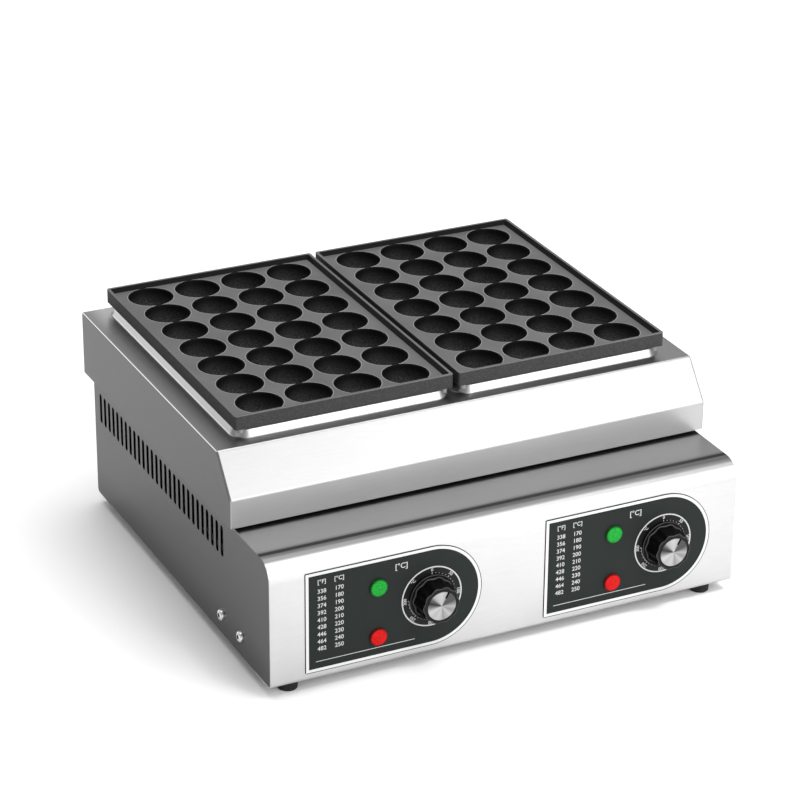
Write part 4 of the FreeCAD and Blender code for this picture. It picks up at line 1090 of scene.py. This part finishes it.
def knob_finish(side):
    """Black plastic, with painted highlights along its edges, which lie at known distances ahead of the flange's
    back.
    """
    facts = PANELS[side]
    material, tree, shader = new_tree(f"{side}_knob_black")
    ahead = difference(tree, facts["knob_back"], place_of(tree)["Y"])
    length = facts["knob_length"]
    fine = noise(tree, object_coordinates(tree), 1200.0)
    colour = grey_ramp(tree, fine, 0.3, 0.0012, 0.7, 0.0025)
    # The edge colour is a painted highlight
    edge = grey_ramp(tree, fine, 0.3, 0.035, 0.7, 0.07)
    for start, end in (FLANGE_EDGE, FOOT_EDGE, (length - FRONT_EDGE, length - FRONT_SKIN)):
        inside = product(tree, sum_of(tree, "GREATER_THAN", ahead, start), sum_of(tree, "LESS_THAN", ahead, end))
        colour = mix_colours(tree, inside, colour, edge)
    front = sum_of(tree, "GREATER_THAN", ahead, length - FRONT_SKIN)
    bump(tree, shader, fine, 0.12, 0.0002)
    set_shader(tree, shader, Base_Color=mix_colours(tree, front, colour, grey(0.012)), Roughness=0.34,
               Specular_IOR_Level=0.055)
    return material


def add_knob(side):
    facts = PANELS[side]
    body = knob_body(facts["knob_length"])
    stand_up(body, facts, facts["knob_back"])
    rename(body, f"{side}_fluted_knob")
    body.data.materials.append(knob_finish(side))
    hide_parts(f"{side}_knob")
    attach(body, f"{side}_knob_set")
    return body


for side in SIDES:
    print(side, "knob faces:", len(add_knob(side).data.polygons))

# %% [markdown]
# ## The collars
# Each plate stands over a collar that is pressed up from the deck: a hollow bend, a steep slope, a rounded top
# edge and a flat top that ends at the opening. Its outline is a rectangle with round corners, so it starts as a
# circle whose points are shared out over four corners. The circle is pushed up once for each point of the
# profile, the last ring is joined to the first, and then every point is moved to its corner. The closed lower
# side lies inside the cover's own sheet.

# %% Collars
CORNER_STEPS = 10
OUTLINE_POINTS = 4 * (CORNER_STEPS + 1)
BEND_STEPS = 5
# All in millimetres, as distances inside the plate's outline and heights above the deck
COLLAR_RISE = 7.0
COLLAR_LEAN = 3.0
FOOT_INSET = 0.2
FOOT_BEND = 2.0
TOP_BEND = 1.1
FOOT_CORNER = 14.2
OPENING_CORNER = 9.0
OPENING_SIDE = [(11.6, COLLAR_RISE), (12.0, 6.85), (12.2, 6.4), (12.2, 3.8)]
UNDER_SIDE = [(3.6, 3.8), (1.1, -0.2)]
END_WIDENING = 6.7  # how much less the opening is inset at the front and back


def collar_profile():
    """Inset, height, and how much less the inset is at the front and back."""
    slope = math.atan2(COLLAR_RISE, COLLAR_LEAN)
    tangent = math.tan(slope / 2)
    start = FOOT_INSET - FOOT_BEND * tangent
    top = FOOT_INSET + COLLAR_LEAN + TOP_BEND * tangent
    points = []
    for part in range(BEND_STEPS + 1):
        angle = slope * part / BEND_STEPS
        points.append((start + FOOT_BEND * math.sin(angle), 0.02 + FOOT_BEND * (1 - math.cos(angle)), 0))
    for part in range(BEND_STEPS + 1):
        angle = math.pi / 2 - slope * (1 - part / BEND_STEPS)
        points.append((top - TOP_BEND * math.cos(angle), COLLAR_RISE - TOP_BEND * (1 - math.sin(angle)), 0))
    points += [(inset, height, END_WIDENING) for inset, height in OPENING_SIDE]
    return points + [(inset, height, 0) for inset, height in UNDER_SIDE + [(start, -0.3)]]


def collar_point(vertex, profile, middle, half):
    """Takes a point of the stacked circles to its corner."""
    inset, height, less = profile[round(vertex.co.z)]
    radius = max(FOOT_CORNER - inset, OPENING_CORNER) * MM
    index = round(math.atan2(vertex.co.y, vertex.co.x) / math.tau * OUTLINE_POINTS) % OUTLINE_POINTS
    quarter, step = divmod(index, CORNER_STEPS + 1)
    angle = (quarter + step / CORNER_STEPS) * math.pi / 2
    side_x, side_y = (1, -1, -1, 1)[quarter], (1, 1, -1, -1)[quarter]
    return Vector((middle.x + side_x * (half.x - inset * MM - radius) + radius * math.cos(angle),
                   middle.y + side_y * (half.y - (inset - less) * MM - radius) + radius * math.sin(angle),
                   DECK_LEVEL + height * MM))


def add_collar(side):
    low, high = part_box(f"{side}_cup_plate")
    profile = collar_profile()
    collar = start_turning(OUTLINE_POINTS, 1.0, "NOTHING")
    for level in range(1, len(profile)):
        bpy.ops.mesh.extrude_region()
        set_ring(collar, level, 1.0, 0.0)
    bpy.ops.mesh.select_all(action="DESELECT")
    bpy.ops.mesh.select_non_manifold()
    bpy.ops.mesh.bridge_edge_loops()
    bpy.ops.object.mode_set(mode="OBJECT")
    for vertex in collar.data.vertices:
        vertex.co = collar_point(vertex, profile, (low + high) / 2, (high - low) / 2)
    bpy.ops.object.mode_set(mode="EDIT")
    end_turning(40)
    rename(collar, f"{side}_collar")
    collar.data.materials.append(COVER_STEEL)
    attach(collar, "housing")
    return collar


for side in SIDES:
    print(side, "collar faces:", len(add_collar(side).data.polygons))

# %% [markdown]
# ## The screws in the sides
# Two pan-headed screws hold each side sheet. Their heads are turned like the knobs, ring by ring, over the CAD
# model's plain ones, and the driver's recess is painted dark, as shade.

# %% Side screw heads
HEAD_STEPS = 36
HEAD_RINGS = [(0.0, 4.7), (1.1, 4.7), (1.9, 4.5), (2.6, 4.0), (3.0, 3.3), (3.15, 2.5), (3.15, 2.0), (3.05, 1.9),
              (2.36, 1.8)]
RECESS_RADIUS = 1.95 * MM


def pan_head():
    """One head on the plane's middle, with its recess up."""
    head = start_turning(HEAD_STEPS, HEAD_RINGS[0][1] * MM, "NGON")
    for height, radius in HEAD_RINGS[1:]:
        bpy.ops.mesh.extrude_region()
        set_ring(head, height * MM, radius * MM, 0.0)
    end_turning(40)
    return head


def add_side_heads():
    low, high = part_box("side_screws")
    radius = (high.z - low.z) / 2
    heads = []
    for side, seat in ((-1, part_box("left_side_panel")[0].x), (1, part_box("right_side_panel")[1].x)):
        for y in (low.y + radius, high.y - radius):
            head = pan_head()
            for polygon in head.data.polygons:
                inside = max(head.data.vertices[index].co.xy.length for index in polygon.vertices) < RECESS_RADIUS
                polygon.material_index = int(inside)
            for vertex in head.data.vertices:
                flat_x, flat_y, height = vertex.co
                vertex.co = Vector((seat + side * height, y - side * flat_x, low.z + radius + flat_y))
            for finish in (HEAD_STEEL, RECESS_PAINTED_SHADE):
                head.data.materials.append(finish)
            heads.append(head)
    body = join(heads, "side_screw_heads")
    bpy.ops.object.mode_set(mode="EDIT")
    bpy.ops.mesh.select_all(action="SELECT")
    even_faces()
    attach(body, "housing")
    return body


HEAD_STEEL = moulded("bright_screw", grey(0.75), 0.30, spread=0.05, scale=500, relief=0.05, Metallic=1.0)
# The recess's dark colour is painted shade
RECESS_PAINTED_SHADE = moulded("painted_recess_shade", grey(0.01), 0.6, spread=0.2, scale=700, Specular_IOR_Level=0.1)
print("screw head faces:", len(add_side_heads().data.polygons))
